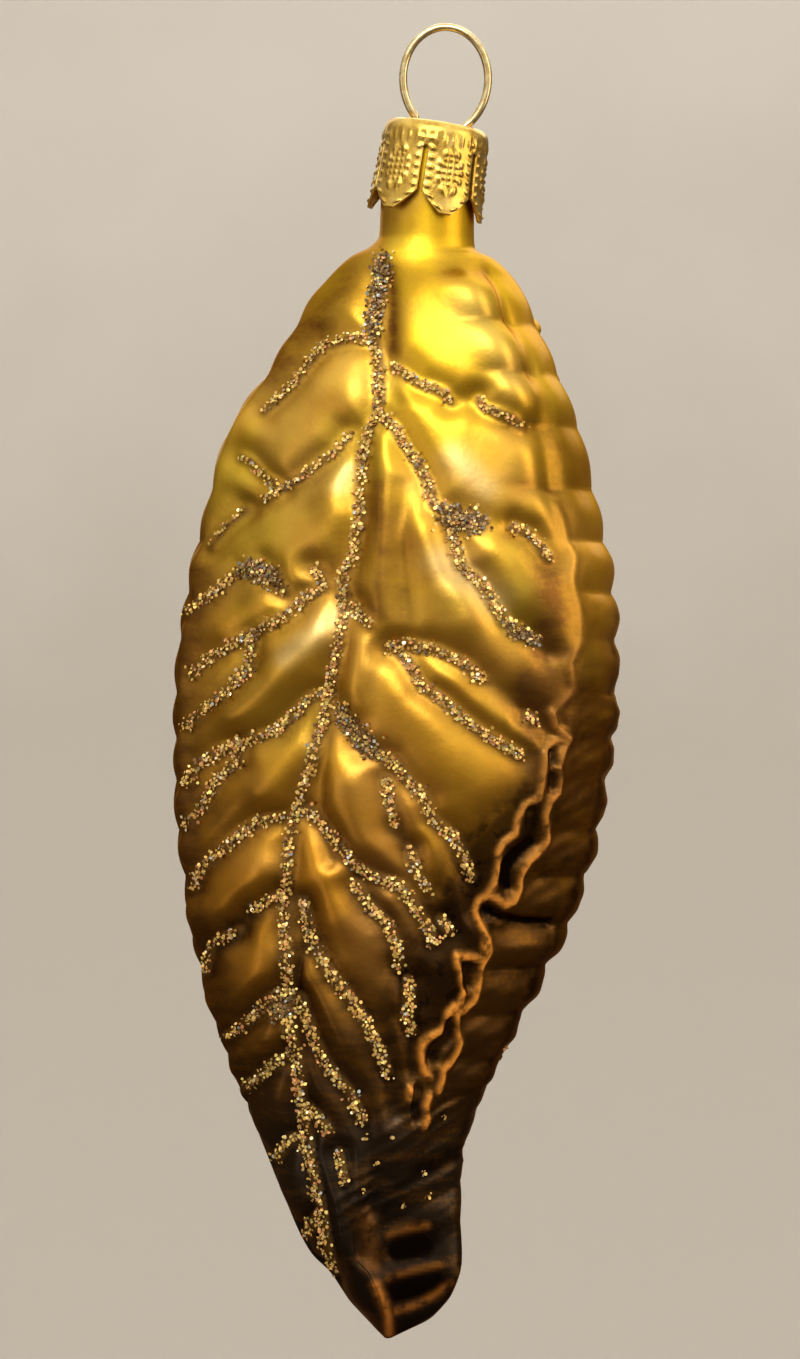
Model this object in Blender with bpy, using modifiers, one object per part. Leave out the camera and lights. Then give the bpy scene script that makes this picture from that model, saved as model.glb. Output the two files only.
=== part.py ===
"""A mouth-blown glass leaf ornament: hollow glass leaf, stamped metal crown cap and sprung wire hanger.

The origin is the hook point, at the inner top of the hanger's ring. +Z is up and the leaf's face looks
along -Y. Every length below is in millimetres, and every height is measured down from the origin.
"""

import math

import bmesh
import bpy
import numpy as np
from mathutils import Matrix, Vector
from mathutils.bvhtree import BVHTree

MM = 0.001

# Glass: driving dimensions
MOUTH_HEIGHT = 10.4  # the neck's rim, inside the cap
NECK_FOOT_HEIGHT = 20.5  # below it the round neck opens out into the leaf
SHOULDER = 4.5  # how far below the neck's foot the section is the leaf's own
TIP_HEIGHT = 130.7
NECK_TILT = math.radians(8.5)  # the neck and its cap lean to the right
NECK_BEND = 8.0  # the tilt goes over this much height
NECK_WALL = 1.0
BODY_WALL = 1.5
INNER_TIP_HEIGHT = 124.0
RELIEF_STARTS = (21.5, 29.0)  # heights between which scallops, flutes and bead come in
RELIEF_ENDS = (128.0, 130.7)
FLUTE_DEPTH = 0.7  # the right side wall's scallops
LEFT_FLUTE_DEPTH = 0.4
SCALLOP_MIDDLE = 0.6  # the share of a scallop's height that lies inside the plain section
SCALLOPS_SOFTEN = (104.0, 112.0)  # towards the tail they lose this share of their depth
SOFTENED = 0.7
WAVE = 1.0  # how far the margin swings to either side
BEAD_HEIGHT = 0.8  # the margin's raised bead
BEAD_WIDTH = 1.0

# Outlines: (height, value)
LEFT_EDGE = [
    (10.0, -5.4), (17.0, -6.4), (20.5, -6.6), (21.6, -7.5), (22.6, -9.5), (26.0, -12.4), (33.0, -16.7),
    (41.0, -21.8), (48.0, -23.7), (54.0, -25.2), (60.0, -26.2), (70.0, -26.8), (78.0, -26.6), (86.0, -25.6),
    (95.0, -23.9), (103.0, -21.3), (110.0, -18.4), (117.0, -15.6), (122.0, -13.2), (124.0, -11.2),
    (127.0, -9.2), (129.7, -7.0), (130.7, -6.0),
]  # fmt: skip
RIGHT_EDGE = [
    (10.0, 3.7), (17.0, 2.9), (20.5, 2.9), (21.8, 3.0), (22.8, 4.9), (25.0, 7.0), (29.0, 8.9), (34.0, 11.1),
    (40.0, 13.3), (47.0, 15.0), (54.0, 16.6), (61.0, 17.2), (69.0, 16.9), (76.0, 15.9), (83.0, 14.3),
    (89.0, 12.2), (95.0, 9.2), (102.0, 5.7), (108.0, 2.9), (112.5, 1.4), (118.0, 1.1), (123.0, 1.1),
    (126.0, 0.5), (128.3, -1.4), (130.0, -4.2), (130.7, -5.4),
]  # fmt: skip
THICKNESS = [
    (10.0, 9.1), (20.5, 9.5), (24.0, 12.5), (28.0, 16.5), (33.0, 20.0), (40.0, 23.0), (50.0, 25.5),
    (60.0, 26.5), (70.0, 26.0), (80.0, 24.5), (90.0, 22.0), (100.0, 18.5), (110.0, 14.5), (118.0, 11.5),
    (123.0, 9.5), (126.5, 7.0), (129.0, 4.2), (130.7, 0.6),
]  # fmt: skip
# Where the front margin runs, as a share of the width from the left edge
MARGIN_SHARE = [
    (20.5, 0.933), (25.0, 0.82), (30.0, 0.85), (35.0, 0.875), (45.0, 0.89), (60.0, 0.90), (70.0, 0.885),
    (75.0, 0.87), (80.0, 0.845), (85.0, 0.815), (90.0, 0.785), (102.0, 0.79), (109.0, 0.785),
    (111.4, 0.76), (114.4, 0.65), (117.4, 0.52), (120.4, 0.43), (124.4, 0.36), (130.7, 0.36),
]  # fmt: skip
# Where the scallops of the right edge meet, notch by notch
NOTCHES = [
    24.5, 29.5, 34.6, 39.7, 45.9, 51.0, 56.1, 60.9, 66.2, 70.7, 74.9, 79.9, 84.5, 89.4, 93.5, 98.2, 102.9,
    107.4, 111.9, 116.4, 120.9, 125.4, 129.9,
]  # fmt: skip

# A section has 12 stations, from the left edge round the front to the right edge (station 6) and back
# round behind. The margin is station 5. Each is (share of the width, share of the thickness).
MARGIN = 5.0
ROUND_SECTION = [
    (0.5 - 0.5 * math.cos(math.radians(30 * k)), -0.5 * math.sin(math.radians(30 * k))) for k in range(12)
]
LEAF_DEPTHS = [0.04, -0.07, -0.27, -0.42, -0.46, -0.36, -0.02, 0.28, 0.45, 0.50, 0.42, 0.24]
FRONT_SHARES = [0.04, 0.22, 0.50, 0.76, 1.0]  # stations 1 to 5, as shares of the margin's own share
BACK_SHARES = [0.955, 0.72, 0.47, 0.20, 0.045]  # stations 7 to 11
# Stations between which the scallops run: the right side wall, and the left edge from both sides
RIGHT_WALL = (5.25, 6.75, 0.2)
LEFT_WALL = [(-1.0, 0.4, 0.3), (11.3, 13.0, 0.2)]

# The outer surface's columns, as station numbers, twice as many as the inner surface's
OUTER_COLUMNS = [
    0.0, 0.4, 0.9, 1.5, 2.1, 2.7, 3.3, 3.9, 4.35, 4.7, 4.88, 5.0, 5.12, 5.35, 5.65, 6.0, 6.4, 6.7, 6.88, 7.0,
    7.12, 7.5, 8.1, 8.8, 9.5, 10.1, 10.6, 10.85, 11.0, 11.15, 11.4, 11.7,
]  # fmt: skip
ROWS_PER_SCALLOP = 4
INNER_ROWS = 24
INNER_NECK_HEIGHTS = [MOUTH_HEIGHT, 15.0, 19.0]
LAST_ROW_HEIGHT = 130.4

# Glitter strands on the face: (x, height) as seen from EYE, on the plane y = 0
EYE = (-4.5, -600.0, -64.9)
STRANDS = {
    "midrib": [
        (-6.4, 22.6), (-7.0, 26.9), (-7.2, 30.0), (-6.7, 33.7), (-6.6, 36.7), (-8.3, 42.4), (-8.6, 47.0),
        (-9.4, 52.6), (-10.2, 57.0), (-10.9, 61.8), (-11.6, 66.2), (-12.9, 71.4), (-14.5, 76.4),
        (-15.6, 81.2), (-16.0, 86.3), (-16.1, 89.7), (-15.6, 96.0), (-14.8, 102.6), (-14.4, 107.4),
        (-13.7, 112.2), (-12.7, 117.0), (-11.9, 121.0),
    ],
    "left_1": [(-7.7, 30.9), (-9.7, 30.7), (-12.0, 31.3), (-14.7, 34.8), (-18.1, 37.9)],
    "left_2": [(-9.6, 40.2), (-12.7, 43.3), (-16.4, 45.7), (-20.1, 47.8), (-22.6, 50.4)],
    "left_3": [(-16.2, 56.1), (-17.1, 54.4), (-18.6, 53.3), (-20.5, 53.9), (-23.8, 56.6)],
    "left_4": [(-12.0, 55.5), (-15.3, 57.9), (-19.4, 60.3), (-24.0, 63.2)],
    "left_4_fork": [(-19.4, 60.5), (-19.7, 63.8), (-21.6, 65.9), (-24.8, 68.6)],
    "left_5": [(-11.6, 66.1), (-13.4, 66.6), (-16.8, 69.9), (-20.5, 71.1), (-24.5, 73.3)],
    "left_5_fork": [(-20.5, 71.1), (-20.8, 73.1), (-22.7, 74.8), (-24.6, 78.0)],
    "left_6": [(-16.4, 78.6), (-20.5, 80.4), (-24.4, 84.1)],
    "left_7": [(-16.4, 86.3), (-19.2, 87.8)],
    "left_8": [(-16.2, 96.2), (-18.8, 98.2), (-20.9, 100.0)],
    "left_9": [(-15.2, 102.6), (-17.0, 103.0), (-18.8, 104.8)],
    "right_1": [(-5.3, 33.5), (-2.7, 35.2), (0.6, 37.0), (4.2, 37.7), (7.6, 39.6)],
    "right_2": [(-6.2, 38.5), (-3.8, 41.8), (-1.8, 44.8), (-1.1, 47.4), (1.0, 48.1), (3.5, 49.1)],
    "right_2_lower": [(0.2, 48.4), (1.3, 52.6), (3.2, 54.8), (6.2, 59.2), (8.9, 60.9)],
    "right_2_outer": [(6.9, 49.6), (8.6, 50.3), (10.4, 52.7)],
    "right_3": [(-5.7, 61.6), (-3.8, 61.3), (-0.9, 61.8), (3.8, 64.8)],
    "right_3_lower": [(-4.6, 61.9), (-2.3, 65.5), (2.1, 69.0), (7.5, 72.4)],
    "right_4": [(-10.5, 67.7), (-8.6, 71.4), (-5.3, 72.9), (-2.0, 76.8), (0.6, 80.4), (2.8, 84.7)],
    "right_4_inner": [(-6.0, 74.8), (-5.0, 79.7), (-3.3, 83.0), (-1.8, 86.0)],
    "right_5": [(-14.2, 77.6), (-10.5, 81.5), (-6.8, 84.7), (-4.6, 85.4), (-1.2, 91.1)],
    "right_6": [(-9.0, 85.4), (-5.7, 89.3), (-4.6, 93.7), (-3.5, 97.1), (-3.3, 100.0)],
    "right_7": [(-15.4, 85.6), (-13.7, 89.7), (-11.3, 94.5), (-7.9, 99.3), (-5.7, 104.1)],
    "right_8": [(-14.9, 95.6), (-12.7, 101.9), (-9.4, 106.3), (-8.3, 108.9)],
}
BACK_STRANDS = [
    "midrib", "left_1", "left_2", "left_4", "left_5", "left_6", "right_1", "right_2", "right_3_lower",
    "right_4", "right_5", "right_7",
]  # fmt: skip
STRAND_RADIUS = 0.8
STRAND_SINK = 0.25  # the strands' middles lie this deep in the glass
STRAND_STEP = 3.4
REACH = 60.0  # where the rays that find the back of the glass start

# Cap: heights along its own axis, down from its flat top
CAP_TOP = (-0.7, 9.35)  # x and height of the middle of the top
CAP_RADIUS = 5.25
CAP_CORNER = 1.1
CAP_METAL = 0.4
CAP_LENGTH = 9.2
CAP_FLARE = 0.55  # how much wider the lobes' ends stand
CAP_STEPS = 48
FLARE_STEPS = (0.35, 0.6, 0.8, 1.0)  # shares of the cap's length
LOBES = 6
FIRST_SLIT = math.radians(-9)
SLIT_WIDTH = 0.5
SLIT_TOP = 2.7
CUTTER_DEPTHS = (2.85, 7.35)  # a slit's cutter, from the cap's axis outwards
CUTTER_OVERHANG = 2.0  # how far it reaches past the lobes' points
LOBE_SHOULDER = 7.2
LOBE_TIP_WIDTH = 1.1
WIRE_HOLE_OFFSET = 2.35
WIRE_HOLE_RADIUS = 0.8
HOLE_SIDES = 16
HOLE_CUTTER_LENGTH = 3.0

# Hanger. Its legs' points are (offset, depth) from the middle of the cap's top.
WIRE_RADIUS = 0.4
RING_CENTRE = (0.05, 4.7)
RING_HALF_WIDTH = 4.25
RING_HALF_HEIGHT = 5.1
RING_OPENS = (math.radians(56), math.radians(50))  # where the ring stops, left and right of straight down
LEG_POINTS = [(2.35, -0.7), (2.35, 0.9), (2.75, 2.2), (2.75, 6.5), (2.5, 9.0), (2.5, 11.5), (3.6, 15.5)]
RING_STEPS = 26

SHARP_ANGLE = math.radians(40)  # edges over this stay sharp on the round pieces
LACQUER_COLOUR = (0.45, 0.3, 0.05)
GILT_COLOUR = (0.75, 0.5, 0.15)
WIRE_COLOUR = (0.8, 0.7, 0.5)


def clear_scene():
    for obj in list(bpy.data.objects):
        bpy.data.objects.remove(obj, do_unlink=True)


def new_collection(name):
    collection = bpy.data.collections.new(name)
    bpy.context.scene.collection.children.link(collection)
    return collection


def metallic_material(name, colour, roughness):
    material = bpy.data.materials.new(name)
    material.use_nodes = True
    shader = material.node_tree.nodes["Principled BSDF"]
    shader.inputs["Base Color"].default_value = (*colour, 1.0)
    shader.inputs["Metallic"].default_value = 1.0
    shader.inputs["Roughness"].default_value = roughness
    return material


def place(name, mesh, collection, material=None):
    obj = bpy.data.objects.new(name, mesh)
    if material:
        mesh.materials.append(material)
    collection.objects.link(obj)
    return obj


def curve_to_mesh(curve_object):
    """A mesh of the curve, with its caps welded on. The curve is removed."""
    graph = bpy.context.evaluated_depsgraph_get()
    mesh = bpy.data.meshes.new_from_object(curve_object.evaluated_get(graph))
    mesh.transform(curve_object.matrix_world)
    shell = bmesh.new()
    shell.from_mesh(mesh)
    bmesh.ops.remove_doubles(shell, verts=shell.verts, dist=1e-6)
    bmesh.ops.recalc_face_normals(shell, faces=shell.faces)
    shell.to_mesh(mesh)
    shell.free()
    bpy.data.objects.remove(curve_object, do_unlink=True)
    return mesh


def wire_curve(name, points, radius, resolution, collection):
    """A tube of this radius along the points, which are in millimetres."""
    data = bpy.data.curves.new(name, "CURVE")
    data.dimensions = "3D"
    data.bevel_depth = radius * MM
    data.bevel_resolution = resolution
    data.use_fill_caps = True
    spline = data.splines.new("POLY")
    spline.points.add(len(points) - 1)
    for target, point in zip(spline.points, points):
        target.co = (*(Vector(point) * MM), 1.0)
    obj = bpy.data.objects.new(name, data)
    collection.objects.link(obj)
    return obj


def smooth(table, at):
    """The values of a (height, value) table at these heights, by a cubic that never overshoots."""
    knots, values = np.array(table, float).T
    step = np.diff(knots)
    chord = np.diff(values) / step
    before, after = 2 * step[1:] + step[:-1], step[1:] + 2 * step[:-1]
    turns = chord[:-1] * chord[1:] <= 0
    low, high = np.where(turns, 1.0, chord[:-1]), np.where(turns, 1.0, chord[1:])
    inner = np.where(turns, 0.0, (before + after) / (before / low + after / high))
    slope = np.concatenate([[chord[0]], inner, [chord[-1]]])
    span = np.clip(np.searchsorted(knots, at, side="right") - 1, 0, len(step) - 1)
    t = np.clip((at - knots[span]) / step[span], 0.0, 1.0)
    start, end = values[span], values[span + 1]
    rise = step[span] * (slope[span] * (1 - t) - slope[span + 1] * t)
    return start * (1 - t) + end * t + t * (1 - t) * ((1 - 2 * t) * (start - end) + rise)


def ramp(value, low, high):
    """0 up to low, 1 from high on, and a smooth step between."""
    t = np.clip((value - low) / (high - low), 0.0, 1.0)
    return t * t * (3 - 2 * t)


def stations(height):
    """The 12 stations of the section at this height, each (share of width, share of thickness)."""
    margin = float(smooth(MARGIN_SHARE, height))
    shares = [0.0, *(margin * share for share in FRONT_SHARES), 1.0, *BACK_SHARES]
    leaf = np.column_stack([shares, LEAF_DEPTHS])
    blend = float(ramp(height, NECK_FOOT_HEIGHT, NECK_FOOT_HEIGHT + SHOULDER))
    return (1 - blend) * np.array(ROUND_SECTION) + blend * leaf


def section_spline(points, at):
    """A closed Catmull-Rom curve through the stations, at these station numbers."""
    span = np.floor(at).astype(int)
    t = (at - span)[:, None]
    p0, p1, p2, p3 = (points[(span + shift) % len(points)] for shift in (-1, 0, 1, 2))
    square, cube = 2 * p0 - 5 * p1 + 4 * p2 - p3, 3 * p1 - p0 - 3 * p2 + p3
    return 0.5 * (2 * p1 + (p2 - p0) * t + square * t**2 + cube * t**3)


def plain_ring(height, columns):
    """The section without its relief, as x, y and z in millimetres."""
    left, right = float(smooth(LEFT_EDGE, height)), float(smooth(RIGHT_EDGE, height))
    share = section_spline(stations(height), columns)
    x = left + share[:, 0] * (right - left)
    y = share[:, 1] * float(smooth(THICKNESS, height))
    lean = math.tan(NECK_TILT) * (1 - ramp(height, NECK_FOOT_HEIGHT - NECK_BEND, NECK_FOOT_HEIGHT))
    z = -(height + lean * (x - (left + right) / 2))
    return np.column_stack([x, y, z])


def outward(ring):
    """Unit vectors that point out of a ring, in its own plane."""
    along = np.roll(ring, -1, axis=0) - np.roll(ring, 1, axis=0)
    out = np.column_stack([along[:, 1], -along[:, 0], np.zeros(len(ring))])
    return out / np.linalg.norm(out, axis=1)[:, None]


def distance_from(ring, columns, station):
    """How far each point is from the station, along the ring, in millimetres. It is negative before it."""
    lengths = np.linalg.norm(np.diff(ring, axis=0), axis=1)
    travelled = np.concatenate([[0.0], np.cumsum(lengths)])
    return travelled - np.interp(station, columns, travelled)


def window(columns, low, high, soft):
    """1 between two stations and 0 away from them."""
    return ramp(columns, low - soft, low + soft) * (1 - ramp(columns, high - soft, high + soft))


def outer_ring(height, columns):
    """The section with its scallops, its flutes and the margin's wavy bead."""
    ring = plain_ring(height, columns)
    fade = float(ramp(height, *RELIEF_STARTS) * (1 - ramp(height, *RELIEF_ENDS)))
    if fade == 0:
        return ring
    turn = float(np.interp(height, NOTCHES, np.arange(len(NOTCHES))))
    scallop = abs(math.sin(math.pi * turn)) - SCALLOP_MIDDLE
    scallop *= 1 - SOFTENED * float(ramp(height, *SCALLOPS_SOFTEN))
    wave = math.cos(2 * math.pi * turn)
    front, back = (distance_from(ring, columns, station) for station in (MARGIN, 12 - MARGIN))
    raised = np.exp(-((front / BEAD_WIDTH) ** 2)) + np.exp(-((back / BEAD_WIDTH) ** 2))
    side = window(columns, *RIGHT_WALL) * FLUTE_DEPTH
    side += sum(window(columns, *wall) for wall in LEFT_WALL) * LEFT_FLUTE_DEPTH
    moved = ring + outward(ring) * (fade * (side * scallop + raised * BEAD_HEIGHT))[:, None]
    swing = np.exp(-((front / (2 * BEAD_WIDTH)) ** 2)) + np.exp(-((back / (2 * BEAD_WIDTH)) ** 2))
    moved[:, 0] += fade * WAVE * wave * swing
    return moved


def inner_ring(height, columns):
    grown = float(ramp(height, NECK_FOOT_HEIGHT, NECK_FOOT_HEIGHT + SHOULDER))
    wall = NECK_WALL + (BODY_WALL - NECK_WALL) * grown
    ring = plain_ring(height, columns)
    return ring - outward(ring) * wall


def outer_heights():
    neck = np.linspace(MOUTH_HEIGHT, NECK_FOOT_HEIGHT, 4, endpoint=False)
    shoulder = np.linspace(NECK_FOOT_HEIGHT, NOTCHES[0], 5, endpoint=False)
    quarters = np.arange((len(NOTCHES) - 1) * ROWS_PER_SCALLOP + 1) / ROWS_PER_SCALLOP
    scallops = np.interp(quarters, np.arange(len(NOTCHES)), NOTCHES)
    return np.concatenate([neck, shoulder, scallops, [LAST_ROW_HEIGHT]])


def add_ring(shell, ring):
    return [shell.verts.new(Vector(point) * MM) for point in ring]


def bridge(shell, upper, lower, inside_out):
    """Two triangles for each column between two rings of as many points."""
    for k in range(len(upper)):
        a, b = upper[k], upper[(k + 1) % len(upper)]
        c, d = lower[(k + 1) % len(lower)], lower[k]
        for corners in ((a, b, c), (a, c, d)):
            shell.faces.new(corners if inside_out else corners[::-1])


def close_end(shell, ring, end, inside_out):
    tip = shell.verts.new(Vector(end) * MM)
    for k in range(len(ring)):
        corners = (ring[k], ring[(k + 1) % len(ring)], tip)
        shell.faces.new(corners if inside_out else corners[::-1])


def glass_shell():
    """The hollow leaf as one closed mesh: outer surface, rim and inner surface."""
    shell = bmesh.new()
    columns = np.array(OUTER_COLUMNS)
    inner_columns = columns[::2]
    outer = [add_ring(shell, outer_ring(height, columns)) for height in outer_heights()]
    inner_heights = np.concatenate([
        INNER_NECK_HEIGHTS,
        np.linspace(NECK_FOOT_HEIGHT + 1, INNER_TIP_HEIGHT, INNER_ROWS),
    ])
    inner = [add_ring(shell, inner_ring(height, inner_columns)) for height in inner_heights]
    for upper, lower in zip(outer, outer[1:]):
        bridge(shell, upper, lower, inside_out=False)
    for upper, lower in zip(inner, inner[1:]):
        bridge(shell, upper, lower, inside_out=True)
    close_end(shell, outer[-1], plain_ring(TIP_HEIGHT, columns).mean(axis=0), inside_out=False)
    close_end(shell, inner[-1], inner_ring(INNER_TIP_HEIGHT, inner_columns).mean(axis=0), inside_out=True)
    for k in range(len(inner_columns)):
        a, b, c = (outer[0][(2 * k + shift) % len(columns)] for shift in range(3))
        d, e = inner[0][k], inner[0][(k + 1) % len(inner_columns)]
        shell.faces.new((a, b, d))
        shell.faces.new((b, e, d))
        shell.faces.new((b, c, e))
    bmesh.ops.recalc_face_normals(shell, faces=shell.faces)
    return shell


def resample(points, step):
    """Points at even distances along a line, its ends among them."""
    points = np.array(points, float)
    travelled = np.concatenate([[0.0], np.cumsum(np.linalg.norm(np.diff(points, axis=0), axis=1))])
    at = np.linspace(0.0, travelled[-1], max(2, round(travelled[-1] / step) + 1))
    return np.column_stack([np.interp(at, travelled, points[:, axis]) for axis in (0, 1)])


def across(x, height):
    """The x that mirrors this one in the leaf's outline at this height."""
    return float(smooth(LEFT_EDGE, height) + smooth(RIGHT_EDGE, height)) - x


def on_glass(surface, start, towards):
    """Where a ray meets the glass, sunk a little below it, or None."""
    spot, normal, _, _ = surface.ray_cast(Vector(start) * MM, Vector(towards).normalized())
    return None if spot is None else spot / MM - normal * STRAND_SINK


def strand_points(surface, route, behind):
    found = []
    for x, height in resample(route, STRAND_STEP):
        if behind:
            spot = on_glass(surface, (across(x, height), REACH, -height), (0, -1, 0))
        else:
            spot = on_glass(surface, EYE, Vector((x, 0, -height)) - Vector(EYE))
        if spot is not None:
            found.append(spot)
    return found


def glass_leaf(collection, cutters):
    """The glass with its glitter strands, which a Boolean union fuses to it."""
    shell = glass_shell()
    surface = BVHTree.FromBMesh(shell)
    strands = bpy.data.collections.new("strands")
    cutters.children.link(strands)
    routes = [(name, route, False) for name, route in STRANDS.items()]
    routes += [(name, STRANDS[name], True) for name in BACK_STRANDS]
    for name, route, behind in routes:
        points = strand_points(surface, route, behind)
        label = f"{name}_{'back' if behind else 'front'}"
        curve = wire_curve(label, points, STRAND_RADIUS, 0, strands)
        place(label, curve_to_mesh(curve), strands)
    mesh = bpy.data.meshes.new("glass_leaf")
    shell.to_mesh(mesh)
    shell.free()
    leaf = place("glass_leaf", mesh, collection, metallic_material("lacquered_glass", LACQUER_COLOUR, 0.35))
    fuse = leaf.modifiers.new("strands", "BOOLEAN")
    fuse.operation = "UNION"
    fuse.operand_type = "COLLECTION"
    fuse.collection = strands
    fuse.solver = "EXACT"
    apply_modifiers(leaf)
    for obj in list(strands.objects):
        bpy.data.objects.remove(obj, do_unlink=True)
    return leaf


def apply_modifiers(obj):
    """Replaces the object's mesh by what its modifiers make of it."""
    graph = bpy.context.evaluated_depsgraph_get()
    mesh = bpy.data.meshes.new_from_object(obj.evaluated_get(graph))
    obj.modifiers.clear()
    obj.data = mesh


def cap_frame():
    """From the cap's own axis, +Z up from the middle of its top, to the ornament's frame."""
    return Matrix.Translation(Vector((CAP_TOP[0], 0, -CAP_TOP[1])) * MM) @ Matrix.Rotation(NECK_TILT, 4, "Y")


def cap_profile():
    """(radius, height) round the metal's section: down the outside, then back up the inside to the axis."""
    corner = [math.radians(angle) for angle in (90, 60, 30, 0)]
    centre = CAP_RADIUS - CAP_CORNER
    outer = [(centre + CAP_CORNER * math.cos(a), CAP_CORNER * (math.sin(a) - 1)) for a in corner]
    outer += [(CAP_RADIUS + CAP_FLARE * t * t, -CAP_LENGTH * t) for t in FLARE_STEPS]
    inner = [(radius - CAP_METAL, height) for radius, height in reversed(outer[4:])]
    tight = CAP_CORNER - CAP_METAL
    inner += [(centre + tight * math.cos(a), tight * math.sin(a) - CAP_CORNER) for a in reversed(corner)]
    return [(0.0, 0.0), *outer, *inner, (0.0, -CAP_METAL)]


def slit_cutter(angle, collection):
    """The gap between two lobes: a narrow slit that opens into the notch between their points."""
    spread = math.pi * (CAP_RADIUS + CAP_FLARE) / LOBES - LOBE_TIP_WIDTH / 2
    half = SLIT_WIDTH / 2
    tip, end = CAP_LENGTH + 0.1, CAP_LENGTH + CUTTER_OVERHANG
    outline = [
        (-half, SLIT_TOP), (half, SLIT_TOP), (half, LOBE_SHOULDER), (spread, tip),
        (spread, end), (-spread, end), (-spread, tip), (-half, LOBE_SHOULDER),
    ]  # fmt: skip
    nearest, farthest = CUTTER_DEPTHS
    solid = bmesh.new()
    near = [solid.verts.new(Vector((x, -nearest, -z)) * MM) for x, z in outline]
    face = solid.faces.new(near)
    pushed = bmesh.ops.extrude_face_region(solid, geom=[face])
    moved = [item for item in pushed["geom"] if isinstance(item, bmesh.types.BMVert)]
    bmesh.ops.translate(solid, verts=moved, vec=Vector((0, nearest - farthest, 0)) * MM)
    bmesh.ops.recalc_face_normals(solid, faces=solid.faces)
    mesh = bpy.data.meshes.new("slit")
    solid.to_mesh(mesh)
    solid.free()
    cutter = place("slit", mesh, collection)
    cutter.matrix_world = cap_frame() @ Matrix.Rotation(angle, 4, "Z")
    return cutter


def hole_cutter(side, collection):
    """A rod through the cap's top, for one leg of the wire."""
    solid = bmesh.new()
    bmesh.ops.create_cone(
        solid, segments=HOLE_SIDES, radius1=WIRE_HOLE_RADIUS * MM, radius2=WIRE_HOLE_RADIUS * MM,
        depth=HOLE_CUTTER_LENGTH * MM, cap_ends=True,
    )  # fmt: skip
    mesh = bpy.data.meshes.new("wire_hole")
    solid.to_mesh(mesh)
    solid.free()
    cutter = place("wire_hole", mesh, collection)
    cutter.matrix_world = cap_frame() @ Matrix.Translation(Vector((side * WIRE_HOLE_OFFSET, 0, 0)) * MM)
    return cutter


def crown_cap(collection, cutters):
    """The stamped metal cup, slit into six pointed lobes."""
    profile = bmesh.new()
    points = [profile.verts.new(Vector((radius, 0, height)) * MM) for radius, height in cap_profile()]
    for a, b in zip(points, points[1:]):
        profile.edges.new((a, b))
    mesh = bpy.data.meshes.new("crown_cap")
    profile.to_mesh(mesh)
    profile.free()
    cap = place("crown_cap", mesh, collection, metallic_material("gilt_metal", GILT_COLOUR, 0.3))
    cap.matrix_world = cap_frame()
    turn = cap.modifiers.new("turn", "SCREW")
    turn.steps = turn.render_steps = CAP_STEPS
    turn.use_merge_vertices = True
    turn.merge_threshold = 1e-6
    tools = bpy.data.collections.new("cap_cutters")
    cutters.children.link(tools)
    made = [slit_cutter(FIRST_SLIT + 2 * math.pi * k / LOBES, tools) for k in range(LOBES)]
    made += [hole_cutter(side, tools) for side in (-1, 1)]
    for cutter in made:
        cutter.hide_render = True
        cutter.display_type = "WIRE"
    cut = cap.modifiers.new("slits", "BOOLEAN")
    cut.operand_type = "COLLECTION"
    cut.collection = tools
    cut.solver = "EXACT"
    return cap


def below_cap_top(offset, depth):
    """A point in the plane of the ring, by its place along the cap's axis."""
    spot = cap_frame() @ (Vector((offset, 0, -depth)) * MM)
    return spot / MM


def wire_hanger(collection):
    """One wire: a leg, up through the cap, the ring, and back down into the other leg."""
    x, height = RING_CENTRE
    angles = np.linspace(RING_OPENS[0] - math.pi, math.pi - RING_OPENS[1], RING_STEPS)
    ring = [
        Vector((x + RING_HALF_WIDTH * math.sin(a), 0, RING_HALF_HEIGHT * math.cos(a) - height))
        for a in angles
    ]
    left = [below_cap_top(-offset, depth) for offset, depth in reversed(LEG_POINTS)]
    right = [below_cap_top(offset, depth) for offset, depth in LEG_POINTS]
    points = [*left, *ring, *right]
    curve = wire_curve("wire_hanger", points, WIRE_RADIUS, 2, collection)
    mesh = curve_to_mesh(curve)
    return place("wire_hanger", mesh, collection, metallic_material("brassy_wire", WIRE_COLOUR, 0.2))


def shade_round(obj):
    obj.data.shade_smooth()
    obj.data.set_sharp_from_angle(angle=SHARP_ANGLE)


def main():
    clear_scene()
    ornament = new_collection("glass_leaf_ornament")
    cutters = new_collection("cutters")
    leaf = glass_leaf(ornament, cutters)
    crown_cap(ornament, cutters)
    hanger = wire_hanger(ornament)
    for obj in (leaf, hanger):
        shade_round(obj)


main()
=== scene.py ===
"""The looks of the glass leaf ornament: lacquered glass, glitter, gilt cap, wire hanger, camera and light.

Lengths are in millimetres, but those of the studio, the lights and the camera's clipping are in metres.
Heights are measured down from the hook point.
"""

import math

import bmesh
import bpy
import numpy as np
from mathutils import Matrix, Vector
from mathutils.bvhtree import BVHTree


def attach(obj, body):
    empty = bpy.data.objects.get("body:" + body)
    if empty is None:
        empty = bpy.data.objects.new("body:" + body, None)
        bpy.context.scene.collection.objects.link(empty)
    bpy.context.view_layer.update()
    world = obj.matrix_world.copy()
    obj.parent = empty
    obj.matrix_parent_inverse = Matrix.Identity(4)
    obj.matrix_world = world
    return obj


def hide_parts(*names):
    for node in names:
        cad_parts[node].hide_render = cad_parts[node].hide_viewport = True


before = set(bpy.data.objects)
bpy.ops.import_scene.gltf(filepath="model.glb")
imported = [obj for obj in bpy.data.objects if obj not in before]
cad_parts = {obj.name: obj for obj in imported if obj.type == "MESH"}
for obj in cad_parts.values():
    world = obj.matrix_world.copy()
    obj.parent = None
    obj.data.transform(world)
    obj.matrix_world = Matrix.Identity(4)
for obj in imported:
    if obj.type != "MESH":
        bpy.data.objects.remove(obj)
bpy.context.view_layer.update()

MM = 0.001
SEED = 7

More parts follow.
